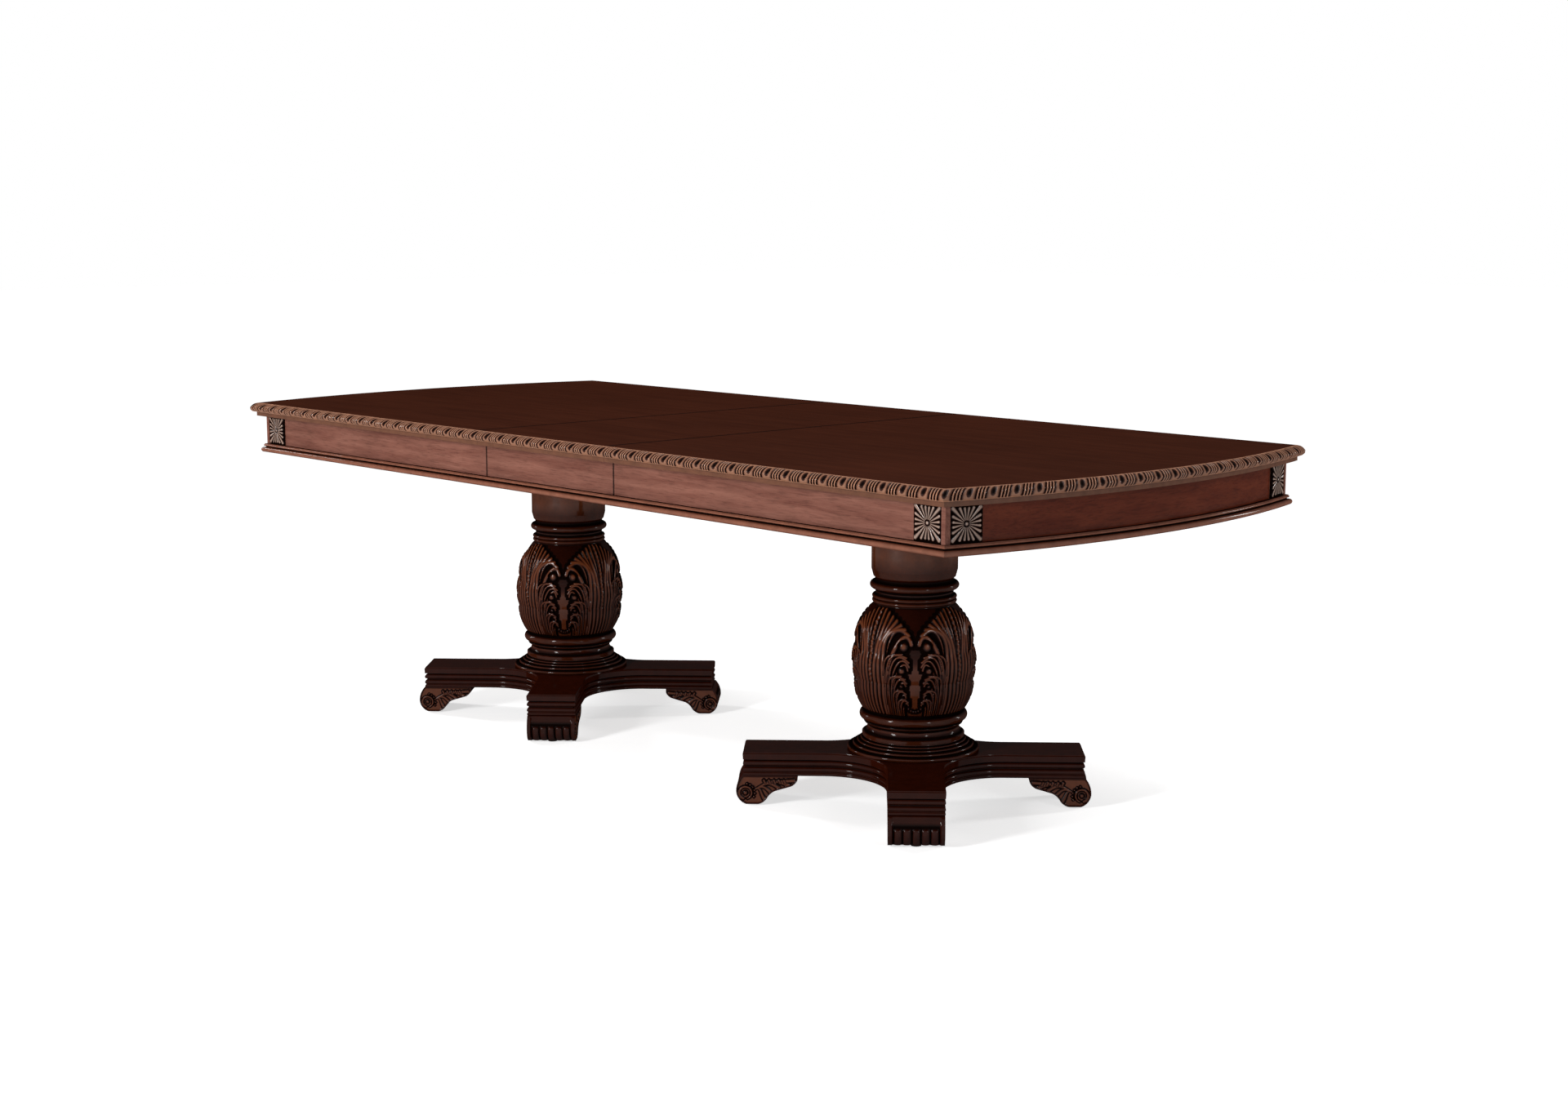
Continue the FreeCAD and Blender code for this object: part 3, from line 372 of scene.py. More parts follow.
def carved_finish(name, crest, ground, shine, hollow=BLACK_GLAZE_AND_SHADE, roughness=0.3):
    """Stained carving: crests lightened as rubbed wear and painted highlight, a darker ground, and black in the
    hollows as glaze and painted shade.
    """
    finish, tree, shader = new_finish(name, roughness, carved_coat_roughness)
    node = tree.nodes.new("ShaderNodeAttribute")
    node.attribute_name = "glaze_and_shade"
    glaze_and_shade = node.outputs["Fac"]
    tone = ramp(tree, glaze_and_shade, [(0.0, crest), (GROUND, ground), (HOLLOW, hollow)])
    mottle = noise(tree, mottle_scale, detail=4)
    patches = ramp(tree, mottle, [(0.3, grey(0.72)), (0.7, grey(1.0))])
    colour = darken(tree, 1.0, tone, patches)
    tree.links.new(colour, shader.inputs["Base Color"])
    dull = ramp(tree, glaze_and_shade, [(0.0, grey(roughness)), (1.0, grey(roughness + hollow_dullness))])
    tree.links.new(dull, shader.inputs["Roughness"])
    bump(tree, shader, mottle, *mottle_bump)
    gloss(tree, shader, shine, hollow=glaze_and_shade)
    return finish


# The first colour of each is its crests', lightened partly for rubbed wear and partly as a painted highlight;
# the gadroons' and the rosettes' pale crests are painted glints.
gadroon = carved_finish("gadroon_finish", (0.46, 0.22, 0.13), (0.058, 0.0135, 0.0045), shine=0.8)
carving = carved_finish("rosette_finish", (0.40, 0.27, 0.21), (0.040, 0.012, 0.006), shine=0.9)
pedestal = carved_finish("pedestal_finish", (0.14, 0.038, 0.014), (0.026, 0.0040, 0.0014), shine=0.38)
moulding = carved_finish("moulding_finish", (0.22, 0.080, 0.046), (0.10, 0.030, 0.017), shine=0.5)


spangle_scale = 90.0
spangle_dark = 0.75


def metal_finish(name, colour, roughness):
    """Zinc-plated steel with a faint mottle."""
    finish, tree, shader = new_finish(name, roughness)
    set_inputs(shader, Metallic=1.0)
    spangle = noise(tree, spangle_scale, detail=2)
    tint = ramp(tree, spangle, [(0.3, tuple(c * spangle_dark for c in colour)), (0.7, colour)])
    tree.links.new(tint, shader.inputs["Base Color"])
    return finish


steel = metal_finish("steel", (0.55, 0.55, 0.53), roughness=0.35)
DARK_PLASTIC = ((0.03, 0.027, 0.025), (0.02, 0.018, 0.017))
glide_finish = carved_finish("glide_plastic", *DARK_PLASTIC, shine=0.1, hollow=grey(0.01), roughness=0.5)
print(len(bpy.data.materials), "materials")

# %% [markdown]
# ## The gadrooned edge
#
# The rounded nose of the top is carved with gadroons: three slim upright reeds and then a wide
# lobe with a spoon-shaped hollow, again and again. A carver cuts them with gouges across the nose,
# and they lean a little the same way all round. The lobes are set out in whole numbers between
# a corner and a seam, so that a lobe sits on each corner and the pattern runs on over the joints.

# %% The nose profile
panel_inset = 18 * MM
edge_depth = 33 * MM
panel_thickness = 25 * MM
nose_depth = 22 * MM
nose_crest = 11 * MM
nose_tuck = 7 * MM
nose_bend = 60
fillet_setback = 15 * MM
fine = 1.3 * MM
coarse = 8 * MM


def edge_corners():
    """The moulding's section as (inset from the outermost line, height, bend) from the top round."""
    underside = table_height - panel_thickness
    bottom = table_height - edge_depth
    return [
        (panel_inset, table_height, nose_bend),
        (0, table_height - nose_crest, nose_bend),
        (nose_tuck, table_height - nose_depth, 0),
        (fillet_setback, table_height - nose_depth, 0),
        (fillet_setback, bottom, 0),
        (frame_setback, bottom, 0),
        (frame_setback, underside, 0),
        (panel_inset, underside, 0),
    ]


edge_steps = [fine, fine, 4 * MM, 2.5 * MM, coarse, coarse, coarse, 12 * MM]
edge_section = outline(edge_corners(), edge_steps)
print(len(edge_section), "points in the edge's section")

# %% Gadroon depth
reeds_in_group = 3
reed_pitch = 7.2 * MM
reed_fill = 0.78
reed_carve = 2.8 * MM
lobe_pitch = 51 * MM
lobe_drop = 0.35 * MM
spoon_carve = 1.5 * MM
spoon_half = 6.5 * MM
spoon_middle = 0.45
spoon_reach = 0.34
gadroon_lean = 9 * MM
lean_curve = 1.6
# The carving fades in at the top of the nose and out at its foot, by shares of the way down.
fade_in = (0.0, 0.12)
fade_out = (0.93, 1.0)


def half_round(t):
    """Depth below the crest of a round form whose width is -1 to 1."""
    return 1 - np.sqrt(np.clip(1 - t * t, 0, 1))


def gadroon_depth(along, up, pitch):
    """Depth of the carving at a length along the edge and a share down the nose."""
    lean = gadroon_lean * (1 - up) ** lean_curve
    x = np.mod(along - lean + pitch / 2, pitch) - pitch / 2
    reeds_half = reeds_in_group * reed_pitch / 2
    lobe_half = pitch / 2 - reeds_half
    outer = np.abs(x) > lobe_half
    across_reed = np.mod(np.abs(x) - lobe_half, reed_pitch) / reed_pitch * 2 - 1
    reeds = half_round(across_reed / reed_fill) * reed_carve
    lobe = half_round(np.clip(x / lobe_half, -1, 1) ** 3) * reed_carve
    spoon = np.clip(1 - (x / spoon_half) ** 2 - ((up - spoon_middle) / spoon_reach) ** 2, 0, 1)
    lobe = lobe + np.sqrt(spoon) * spoon_carve + lobe_drop
    fade = smooth_step(*fade_in, up) * (1 - smooth_step(*fade_out, up))
    return np.where(outer, reeds, lobe) * fade


def nose_share(section):
    """Share down the nose for each point of the section, and -1 off the nose."""
    steps = np.linalg.norm(np.diff(section, axis=0, append=section[:1]), axis=1)
    run = np.concatenate([[0], np.cumsum(steps)[:-1]])
    end = np.argmin(np.linalg.norm(section - [nose_tuck, table_height - nose_depth], axis=1))
    share = run / run[end]
    return np.where(np.arange(len(section)) <= end, share, -1.0)


def inward_normals(section):
    """Unit normals that point into a closed section."""
    ahead = np.roll(section, -1, axis=0)
    behind = np.roll(section, 1, axis=0)
    tangent = ahead - behind
    tangent /= np.linalg.norm(tangent, axis=1)[:, None]
    normal = np.stack([-tangent[:, 1], tangent[:, 0]], axis=1)
    area = np.sum(section[:, 0] * ahead[:, 1] - ahead[:, 0] * section[:, 1])
    return normal if area > 0 else -normal


print(reeds_in_group, "reeds of", round(reed_pitch / MM, 1), "mm between two lobes")

# %% Mouldings carried along the table's sides and ends
outer_corner = corner(0.0)
inner_corner = corner(frame_setback)
corner_x = bow_centre + outer_corner[0]


def mitre_x(inset):
    """Where the mitre line crosses the line set in from the long side."""
    share = inset / frame_setback
    return outer_corner[0] + (inner_corner[0] - outer_corner[0]) * share


def mitre_angle(inset):
    """The angle from the bow's centre at which the mitre crosses the line inside the bow."""
    line = inner_corner - outer_corner
    radius = bow_radius - inset
    a = line @ line
    b = 2 * outer_corner @ line
    c = outer_corner @ outer_corner - radius**2
    share = (-b - np.sqrt(b * b - 4 * a * c)) / (2 * a)
    other = (-b + np.sqrt(b * b - 4 * a * c)) / (2 * a)
    share = np.where(np.abs(share) < np.abs(other), share, other)
    point = outer_corner + share[..., None] * line
    return np.arctan2(point[..., 1], point[..., 0])


def capped(faces, rows, columns):
    """Grid faces with a face over each end of the closed section."""
    first = list(range(columns))
    last = list(range((rows - 1) * columns, rows * columns))
    return faces.tolist() + [first, last[::-1]]


def carved_in(section, depth):
    """Inset and height of a section's points once they are pushed in along its normals."""
    normal = inward_normals(section)
    return section[:, 0] + normal[:, 0] * depth, section[:, 1] + normal[:, 1] * depth


def side_points(section, carve, start, finish, mitred, side, end, spacing):
    """Points of a straight moulding from start to finish along +X, then turned to its place."""
    rows = max(2, int(round((finish - start) / spacing)) + 1)
    share = np.linspace(0, 1, rows)[:, None]
    along = start + (finish - start) * share + 0 * section[:, 0]
    depth = carve(along)
    inset, height = carved_in(section, depth)
    reach = bow_centre + mitre_x(inset) if mitred else finish + 0 * inset
    x = start + (reach - start) * share
    y = (half_width - inset) * side
    points = np.stack([x * end, y * end, height], axis=-1)
    return points, depth


def bow_points(section, carve, end, spacing):
    """Points of the moulding round a bowed end, between its two mitres."""
    reach = bow_radius * mitre_angle(np.array([0.0]))[0]
    rows = int(round(2 * reach / spacing)) + 1
    share = np.linspace(-1, 1, rows)[:, None]
    along = reach * share + 0 * section[:, 0]
    depth = carve(along)
    inset, height = carved_in(section, depth)
    turn = mitre_angle(inset) * share
    radius = bow_radius - inset
    x = bow_centre + radius * np.cos(turn)
    y = radius * np.sin(turn)
    points = np.stack([x * end, y * end, height], axis=-1)
    return points, depth


ENDS = {"right": 1, "left": -1}


def row_name(end, side):
    """near is the -Y side of the table, whichever end the piece is on."""
    return "near" if side * end < 0 else "far"


def add_moulding(node, body, points, glaze_and_shade, finish):
    """One moulding as a closed mesh."""
    rows, columns = points.shape[:2]
    faces = capped(grid_faces(rows, columns), rows, columns)
    glaze_and_shade = glaze_and_shade + 0 * points[..., 0]
    make_piece(node, body, points, faces, finish, glaze_and_shade, sharp=38)


def all_round(kind, section, carve_for, glaze_and_shade_for, spacing, finish):
    """The mouldings of one kind on both ends and the leaf."""
    for end_name, end in ENDS.items():
        body = f"{end_name}_end"
        for side in (1, -1):
            carve = carve_for("side", -side)
            points, depth = side_points(section, carve, seam, corner_x, True, side, end, spacing)
            node = f"{end_name}_{row_name(end, side)}_{kind}"
            add_moulding(node, body, points, glaze_and_shade_for(depth), finish)
        points, depth = bow_points(section, carve_for("bow", 1), end, spacing)
        add_moulding(f"{end_name}_end_{kind}", body, points, glaze_and_shade_for(depth), finish)
    for side in (1, -1):
        carve = carve_for("leaf", -side)
        points, depth = side_points(section, carve, -half_leaf, half_leaf, False, side, 1, spacing)
        add_moulding(f"leaf_{row_name(1, side)}_{kind}", "leaf", points, glaze_and_shade_for(depth), finish)


print("corner of the top at", round(corner_x, 4), "m along")

# %% The carved edge all round
nose = nose_share(edge_section)
carve_spacing = 1.5 * MM
black_depth = 2.0 * MM
band_tone = 0.32
bow_length = 2 * bow_radius * mitre_angle(np.array([0.0]))[0]
# Each run of the edge has a length and the place along it where its pattern starts.
RUNS = {
    "side": (corner_x - seam, seam),
    "leaf": (2 * half_leaf, -half_leaf),
    "bow": (bow_length, -bow_length / 2),
}
lobes = {run: round(length / lobe_pitch) for run, (length, _) in RUNS.items()}


def nose_carve(run, sign):
    """The carving as a function of length along one run, in whole lobes."""
    length, start = RUNS[run]

    def carve(along):
        depth = gadroon_depth((along - start) * sign, np.clip(nose, 0, 1), length / lobes[run])
        return np.where(nose >= 0, depth, 0.0)

    return carve


def nose_glaze_and_shade(depth):
    """Glaze and painted shade on the edge: by depth on the carved nose, and one tone on the band under it."""
    return np.where(nose >= 0, np.clip(depth / black_depth, 0, 1), band_tone)


all_round("edge_moulding", edge_section, nose_carve, nose_glaze_and_shade, carve_spacing, gadroon)
print("gadroons:", lobes["side"], "to a side,", lobes["leaf"], "on the leaf,", lobes["bow"], "round a bow")

# %% [markdown]
# ## The moulding under the apron
#
# A small bead, a dark groove and a larger reed run round the table under the apron. On the real
# table it is one machined strip, mitred at the corners like the edge above it. The same functions
# carry its section along, and glaze with painted shade is laid in its groove.

# %% The reeded moulding
apron_tall = 72 * MM
apron_bottom = table_height - edge_depth - apron_tall
groove_depth = 8 * MM
groove_reach = 4 * MM
base_spacing = 12 * MM
BASE_FACE = [
    # inset from the outermost line and drop below the apron, in millimetres, and bend
    (28.5, 0, 0),
    (28.5, 1.6, 150),
    (28.5, 6.2, 0),
    (31.0, 6.6, 0),
    (31.0, 8.4, 0),
    (26.5, 8.8, 165),
    (26.5, 21, 0),
]
base_bottom = apron_bottom - BASE_FACE[-1][1] * MM
base_corners = [(inset * MM, apron_bottom - drop * MM, bend) for inset, drop, bend in BASE_FACE]
base_corners += [(frame_setback, base_bottom, 0), (frame_setback, apron_bottom, 0)]


def section_glaze_and_shade(section, deep):
    """How far each point of a section lies inside the outermost point near it, as a share of deep."""
    inset, height = section[:, 0], section[:, 1]
    near = np.abs(height[:, None] - height[None, :]) < groove_reach
    front = np.where(near, inset[None, :], np.inf).min(axis=1)
    return np.clip((inset - front) / deep, 0, 1)


base_steps = [3 * MM, 0.7 * MM, 1 * MM, 1 * MM, 1 * MM, 1.0 * MM, coarse, coarse, coarse]
base_section = outline(base_corners, base_steps)
base_glaze_and_shade = section_glaze_and_shade(base_section, groove_depth)
all_round(
    "base_moulding",
    base_section,
    lambda run, sign: lambda along: 0 * along,  # nothing is carved
    lambda depth: base_glaze_and_shade,
    base_spacing,
    moulding,
)
print(len(base_section), "points in the base moulding's section")

# %% [markdown]
# ## Carving as rounded ribs
#
# A carver draws the middle line of each leaf lobe, then cuts a groove on both sides of it and
# rounds what stands between. The rosettes, the urns and the feet are all carved that way here. A rib
# is a curve with a width at its root and at its tip, and a leaf is a fan of ribs laid over what is
# already there. Heights are in millimetres above the ground.


# %% Ribs, leaves and buttons
root_rise = 0.7
button_ground = 0.4


def bent(start, rise, finish, heading, pull=0.55, count=22):
    """A curve that leaves start with the heading rise and meets finish with another, in degrees."""
    start, finish = np.asarray(start, float), np.asarray(finish, float)
    reach = pull * np.linalg.norm(finish - start)
    first, last = math.radians(rise), math.radians(heading)
    one = start + reach * np.array([math.cos(first), math.sin(first)])
    two = finish - reach * np.array([math.cos(last), math.sin(last)])
    t = np.linspace(0, 1, count)[:, None]
    return (1 - t) ** 3 * start + 3 * (1 - t) ** 2 * t * one + 3 * (1 - t) * t**2 * two + t**3 * finish


def rib_height(x, y, curve, slim, wide, rise):
    """Height of a rounded rib that widens along a curve, and 0 off it."""
    steps = np.diff(curve, axis=0)
    lengths = np.linalg.norm(steps, axis=1)
    run = np.concatenate([[0], np.cumsum(lengths)])
    nearest = np.full(x.shape, np.inf)
    along = np.zeros(x.shape)
    for start, step, length, first in zip(curve, steps, lengths, run):
        share = np.clip(((x - start[0]) * step[0] + (y - start[1]) * step[1]) / length**2, 0, 1)
        distance = np.hypot(x - start[0] - share * step[0], y - start[1] - share * step[1])
        closer = distance < nearest
        nearest = np.where(closer, distance, nearest)
        along = np.where(closer, first + share * length, along)
    along = along / run[-1]
    half = slim + (wide - slim) * along
    proud = rise * (root_rise + (1 - root_rise) * along)
    return proud * np.sqrt(np.clip(1 - (nearest / half) ** 2, 0, 1))


def lay_leaf(height, x, y, ribs, level):
    """Lays a leaf of ribs (curve, slim, wide, rise) over the carving so far."""
    leaf = np.zeros_like(height)
    for rib in ribs:
        leaf = np.maximum(leaf, rib_height(x, y, *rib))
    return np.where(leaf > 0, np.maximum(level + leaf, 0), height)


def set_button(height, x, y, centre, radius, top, groove=1.2):
    """A round button in a groove of its own."""
    near = np.hypot(x - centre[0], y - centre[1])
    height = np.where(near < radius + groove, np.minimum(height, button_ground), height)
    dome = top * np.sqrt(np.clip(1 - (near / radius) ** 2, 0, 1))
    return np.where(near < radius, np.maximum(dome, button_ground), height)


def cavity(height, reach, deep):
    """How far each point of a grid lies below the highest one near it, as a share of deep."""
    high = height
    for axis in (0, 1):
        margin = [(reach, reach) if a == axis else (0, 0) for a in (0, 1)]
        wide = np.pad(high, margin, mode="edge")
        size = high.shape[axis]
        high = np.max([np.take(wide, range(s, s + size), axis) for s in range(2 * reach + 1)], axis=0)
    return np.clip((high - height) / deep, 0, 1)


print("carving helpers ready")

# %% [markdown]
# ## The corner rosettes
#
# Each corner block carries two squares, one on each face, with twenty leaves that radiate from a
# small button. The corner leaves are the longest. A narrow margin of black ground is left round them.
# A carver would cut them on the bench as separate squares and glue them in.

# %% A rosette's face
rosette_half = 35.5
rosette_back = 3.0
rosette_points = 96
leaf_count = 20
leaf_field = 32.0
leaf_margin = 3.4
leaf_root = 5.0
leaf_slim = 0.8
leaf_spread = 0.135
leaf_rise = 2.6
leaf_level = 0.3
button_radius = 5.2
button_rise = 2.9


def rosette_face():
    """Grid of the carved face in millimetres: across, up, and height above the plate."""
    line = np.linspace(-rosette_half, rosette_half, rosette_points)
    x, y = np.meshgrid(line, line)
    height = np.zeros_like(x)
    ribs = []
    for index in range(leaf_count):
        turn = 2 * math.pi * (index + 0.5) / leaf_count
        ray = np.array([math.cos(turn), math.sin(turn)])
        tip = leaf_field / max(abs(ray)) - leaf_margin
        ribs.append((np.array([ray * leaf_root, ray * tip]), leaf_slim, leaf_spread * tip, leaf_rise))
    height = lay_leaf(height, x, y, ribs, leaf_level)
    height = set_button(height, x, y, (0, 0), button_radius, button_rise)
    return x, y, height


def rosette_mesh(x, y, height):
    """Points and faces of a rosette: its face, its rim and its flat back."""
    rows, columns = x.shape
    face = np.stack([x, y, rosette_back + height], axis=-1).reshape(-1, 3)
    index = np.arange(rows * columns).reshape(rows, columns)
    rim = np.concatenate([index[0, :-1], index[:-1, -1], index[-1, :0:-1], index[:0:-1, 0]])
    back = face[rim] * [1, 1, 0]
    first = rows * columns
    count = len(rim)
    faces = grid_faces(rows, columns, wrap_columns=False)[:, ::-1].tolist()
    for k in range(count):
        after = (k + 1) % count
        faces.append([rim[after], rim[k], first + k, first + after])
    faces.append([first + k for k in range(count - 1, -1, -1)])
    return np.vstack([face, back]), faces


# %% Rosettes on every corner block
block_setback = 34 * MM
apron_setback = 40 * MM
block_strip = 10 * MM
ground_shade = 0.8
rim_shade = 0.6
rosette_x, rosette_y, rosette_rise = rosette_face()
rosette_local, rosette_faces = rosette_mesh(rosette_x, rosette_y, rosette_rise)
# The leaves' crests stay light as a painted highlight, and the gaps between them go dark as glaze and painted
# shade.
rosette_glaze_and_shade = cavity(rosette_rise, reach=4, deep=1.5)
on_ground = rosette_rise < leaf_level
rosette_glaze_and_shade = np.where(on_ground, np.maximum(rosette_glaze_and_shade, ground_shade), rosette_glaze_and_shade).ravel()
rosette_glaze_and_shade = np.concatenate([rosette_glaze_and_shade, np.full(len(rosette_local) - len(rosette_glaze_and_shade), rim_shade)])
arris = corner(block_setback)
along = block_strip + rosette_half * MM
centre_z = apron_bottom + apron_tall / 2
for end_name, end in ENDS.items():
    all_points, all_faces = [], []
    for side in (1, -1):
        end_y = (arris[1] - along) * side
        places = (
            (bow_centre + arris[0] - along, (half_width - apron_setback) * side, math.pi / 2 * side),
            (bow_centre + float(on_bow(apron_setback, end_y)), end_y, math.asin(end_y / bow_radius)),
        )
        for x, y, facing in places:
            out = np.array([math.cos(facing), math.sin(facing), 0])
            across = np.array([-math.sin(facing), math.cos(facing), 0])
            turned = rosette_local * MM @ np.array([across, (0, 0, 1), out])
            points = np.array([x, y, centre_z]) + turned
            points[:, :2] *= end
            first = len(all_points) * len(rosette_local)
            all_points.append(points)
            all_faces += [[first + k for k in face] for face in rosette_faces]
    glaze_and_shade = np.tile(rosette_glaze_and_shade, len(all_points))
    points = np.vstack(all_points)
    node, body = f"{end_name}_rosettes", f"{end_name}_end"
    make_piece(node, body, points, all_faces, carving, glaze_and_shade, sharp=60)
print("rosettes:", len(rosette_local), "points each")

# %% [markdown]
# ## The carved columns
#
# Each column is turned on a lathe: a neck, a pair of beads, a fat urn, a torus and a waist. Then
# the urn is carved. Four bundles of acanthus leaf climb it, towards the table's sides and ends,
# and each leaf curls over towards a plain pear-shaped field that looks along one arm of the
# platform. The leaves' edges roll up into round buttons that shrink downward. One half of one
# bundle is worked out and mirrored round.

# %% The turned outline
column_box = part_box("right_column")
column_bottom = column_box[0][2]
column_tall = column_box[1][2] - column_bottom
urn_radius = 133 * MM
bore_radius = 9 * MM
pedestal_x = (column_box[0][0] + column_box[1][0]) / 2
TURNING = [
    # radius as a share of the urn's, height as a share of the column's, bend of the edge after it
    (0.835, 0.0, 0),
    (0.835, 0.012, -70),
    (0.748, 0.040, -50),
    (0.780, 0.052, 0),
    (0.790, 0.052, 150),
    (0.790, 0.064, 0),
    (0.815, 0.066, 160),
    (0.815, 0.104, 0),
    (0.780, 0.105, 0),
    (0.780, 0.110, 38),
    (0.945, 0.245, 34),
    (0.945, 0.360, 40),
    (0.665, 0.532, -60),
    (0.660, 0.537, 0),
    (0.664, 0.538, 160),
    (0.664, 0.552, 0),
    (0.655, 0.553, 0),
    (0.664, 0.555, 160),
    (0.664, 0.569, 0),
    (0.635, 0.570, -60),
    (0.652, 0.590, 0),
    (0.672, 0.592, 160),
    (0.672, 0.622, 0),
    (0.640, 0.624, -80),
    (0.668, 0.642, 0),
    (0.700, 0.672, 0),
    (0.700, 1.0, 0),
]
turned_step = 1.8 * MM
carved_step = 1.3 * MM
plain_step = 30 * MM
urn_low_share = 0.110
urn_high_share = 0.532
neck_share = 0.672


def turning_outline():
    """The column's outline as (radius, height above its foot), from the bore round to the bore."""
    corners = [(bore_radius, 0, 0)]
    corners += [(urn_radius * r, column_tall * z, bend) for r, z, bend in TURNING]
    corners += [(bore_radius, column_tall, 0)]
    steps = [carved_step if urn_low_share <= z < urn_high_share else turned_step for _, z, _ in TURNING[:-2]]
    return outline(corners, [plain_step, *steps, plain_step, plain_step, plain_step * 3])


turning = turning_outline()
print(len(turning), "points in the column's outline")

# %% Leaves and curls on the urn
CURLS = [
    # across and up from the foot of the urn's field, button radius, ribs, reach and lane of the first
    # and the last rib, all in millimetres but the count
    ((29, 104), 9.0, 5, (13.5, 35), (47, 66)),
    ((30, 70), 6.6, 4, (10.2, 24), (42, 57)),
    ((27, 46), 4.9, 3, (7.8, 16), (35, 47)),
    ((21, 30), 3.7, 3, (6.0, 13), (26, 37)),
]
TOP_BUTTON = (26, 155)
top_button_radius = 12.5
top_ribs = 9
top_lanes = (61, 104.5)
top_tip_low = (9, 160)
top_tip_high = (104.5, 230)
top_crowding = 1.3
top_roll = 165
lanes_foot = -6
lanes_end = 92
rib_rise = 4.6
long_rib = (4.6, 6.6, rib_rise)
short_rib = (0.5, 6.4, rib_rise)
short_start = 5
curl_rib = (1.7, 2.9, rib_rise * 0.75)
curl_first_turn = 170
curl_sweep = 80
curl_lane_end = 0.6
BEADS = [((15, 20), 2.7), ((9.0, 15.5), 2.4), ((3.0, 13.5), 2.2)]
# Heights above the ground. Each curl's leaf lies a little higher than the one above it, and its
# button a little lower.
field_swell = 1.2
field_half = 24
top_level = 1.8
top_button_rise = 5.6
curl_level = 2.4
curl_level_step = 0.3
curl_button_rise = 5.4
curl_button_step = 0.4
curl_groove = 0.9
bead_rise = 3.0
bead_groove = 0.6


def top_leaf():
    """The leaf that curls over the top button and fans out to the shoulder, every other rib short."""
    ribs = []
    for index in range(top_ribs):
        share = index / (top_ribs - 1)
        lane = top_lanes[0] + (top_lanes[1] - top_lanes[0]) * share
        across = share**top_crowding
        tip = (
            top_tip_low[0] + (top_tip_high[0] - top_tip_low[0]) * across,
            top_tip_low[1] + (top_tip_high[1] - top_tip_low[1]) * math.sqrt(across),
        )
        curve = bent((lane, lanes_end), 90, tip, 90 + top_roll * (1 - share) ** 2)
        if index % 2 == 0:
            ribs.append((np.vstack([[lane, lanes_foot], curve]), *long_rib))
        else:
            ribs.append((curve[short_start:], *short_rib))
    return ribs


def curl_leaf(centre, ribs, reaches, lanes):
    """The ribs of a lower leaf, which come up side by side and roll over their button."""
    made = []
    for share in np.linspace(0, 1, ribs):
        reach = reaches[0] + (reaches[1] - reaches[0]) * share
        lane = lanes[0] + (lanes[1] - lanes[0]) * share
        turn = math.radians(curl_first_turn - curl_sweep * share)
        tip = np.array(centre) + reach * np.array([math.cos(turn), math.sin(turn)])
        start = (lane, centre[1] * curl_lane_end)
        curve = bent(start, 90, tip, math.degrees(turn) + 90, pull=0.62)
        made.append((np.vstack([[lane, lanes_foot], curve]), *curl_rib))
    return made


def urn_relief(across, up):
    """Height of the carving above the urn's ground, both in millimetres."""
    height = field_swell * np.clip(1 - (across / field_half) ** 2, 0, 1)
    height = lay_leaf(height, across, up, top_leaf(), top_level)
    height = set_button(height, across, up, TOP_BUTTON, top_button_radius, top_button_rise)
    for order, (centre, button, ribs, reaches, lanes) in enumerate(CURLS):
        leaf = curl_leaf(centre, ribs, reaches, lanes)
        height = lay_leaf(height, across, up, leaf, curl_level + curl_level_step * order)
        button_rise = curl_button_rise - curl_button_step * order
        height = set_button(height, across, up, centre, button, button_rise, curl_groove)
    for centre, radius in BEADS:
        height = set_button(height, across, up, centre, radius, bead_rise, bead_groove)
    return height


print(len(CURLS) + 1, "curls and", len(BEADS), "beads to half a bundle")

# %% Turn and carve the columns
round_count = 600
half_bundles = 8
clear_of_bore = bore_radius * 1.5
bead_reach = 5 * MM
field_below = 1.6
field_tone = 0.26
throat_tone = 0.62
# Painted shade: the urn's carving is darkened towards its foot, so that the upper ribs read as lit.
low_painted_shade = 0.26
turned_tone = 0.34
# The neck is lighter than the other turned parts as painted light from the lamp.
lit_neck_tone = 0.12
neck_margin = 0.004
# Shares of the urn's height between which the carving and each tone come in, or go out.
carving_in = (0, 0.03)
carving_out = (0.985, 1.0)
throat_span = (0.45, 0.62)
low_shade_span = (0.25, 0.75)
# Scallops on the leaves' outer edges: where they come in across, in millimetres, and up, as shares,
# and their pitch in millimetres.
scallop_across = (97, 104)
scallop_span = (0.25, 0.4)
scallop_pitch = 10


def column_glaze_and_shade(profile, reach):
    """Glaze and painted shade on a turned outline: how far each point lies inside its neighbours up and down."""
    radius, height = profile[:, 0], profile[:, 1]
    near = np.abs(height[:, None] - height[None, :]) < reach
    front = np.where(near, radius[None, :], 0).max(axis=1)
    return np.clip((front - radius) / reach, turned_tone, 1)


def around(half_sector, count):
    """Spreads a half sector, from its middle outward, over the whole turn by mirroring."""
    sector = half_sector.shape[0] - 1
    step = np.mod(np.arange(count), 2 * sector)
    return half_sector[np.abs(step - sector)]


def add_turned(kind, profile, place, rise, glaze_and_shade):
    """A turned piece at each end. rise moves its surface outward, for each turn and point."""
    turns = np.linspace(0, 2 * math.pi, round_count, endpoint=False)[:, None]
    radius, height = carved_in(profile, -rise)
    faces = grid_faces(round_count, len(profile), wrap_rows=True)
    glaze_and_shade = glaze_and_shade + 0 * radius + 0 * turns
    for end_name, end in ENDS.items():
        x = pedestal_x * end + radius * np.cos(turns)
        y = radius * np.sin(turns)
        points = np.stack([x, y, place + height + 0 * turns], axis=-1)
        node, body = f"{end_name}_{kind}", f"{end_name}_end"
        make_piece(node, body, points, faces, pedestal, glaze_and_shade, sharp=40)


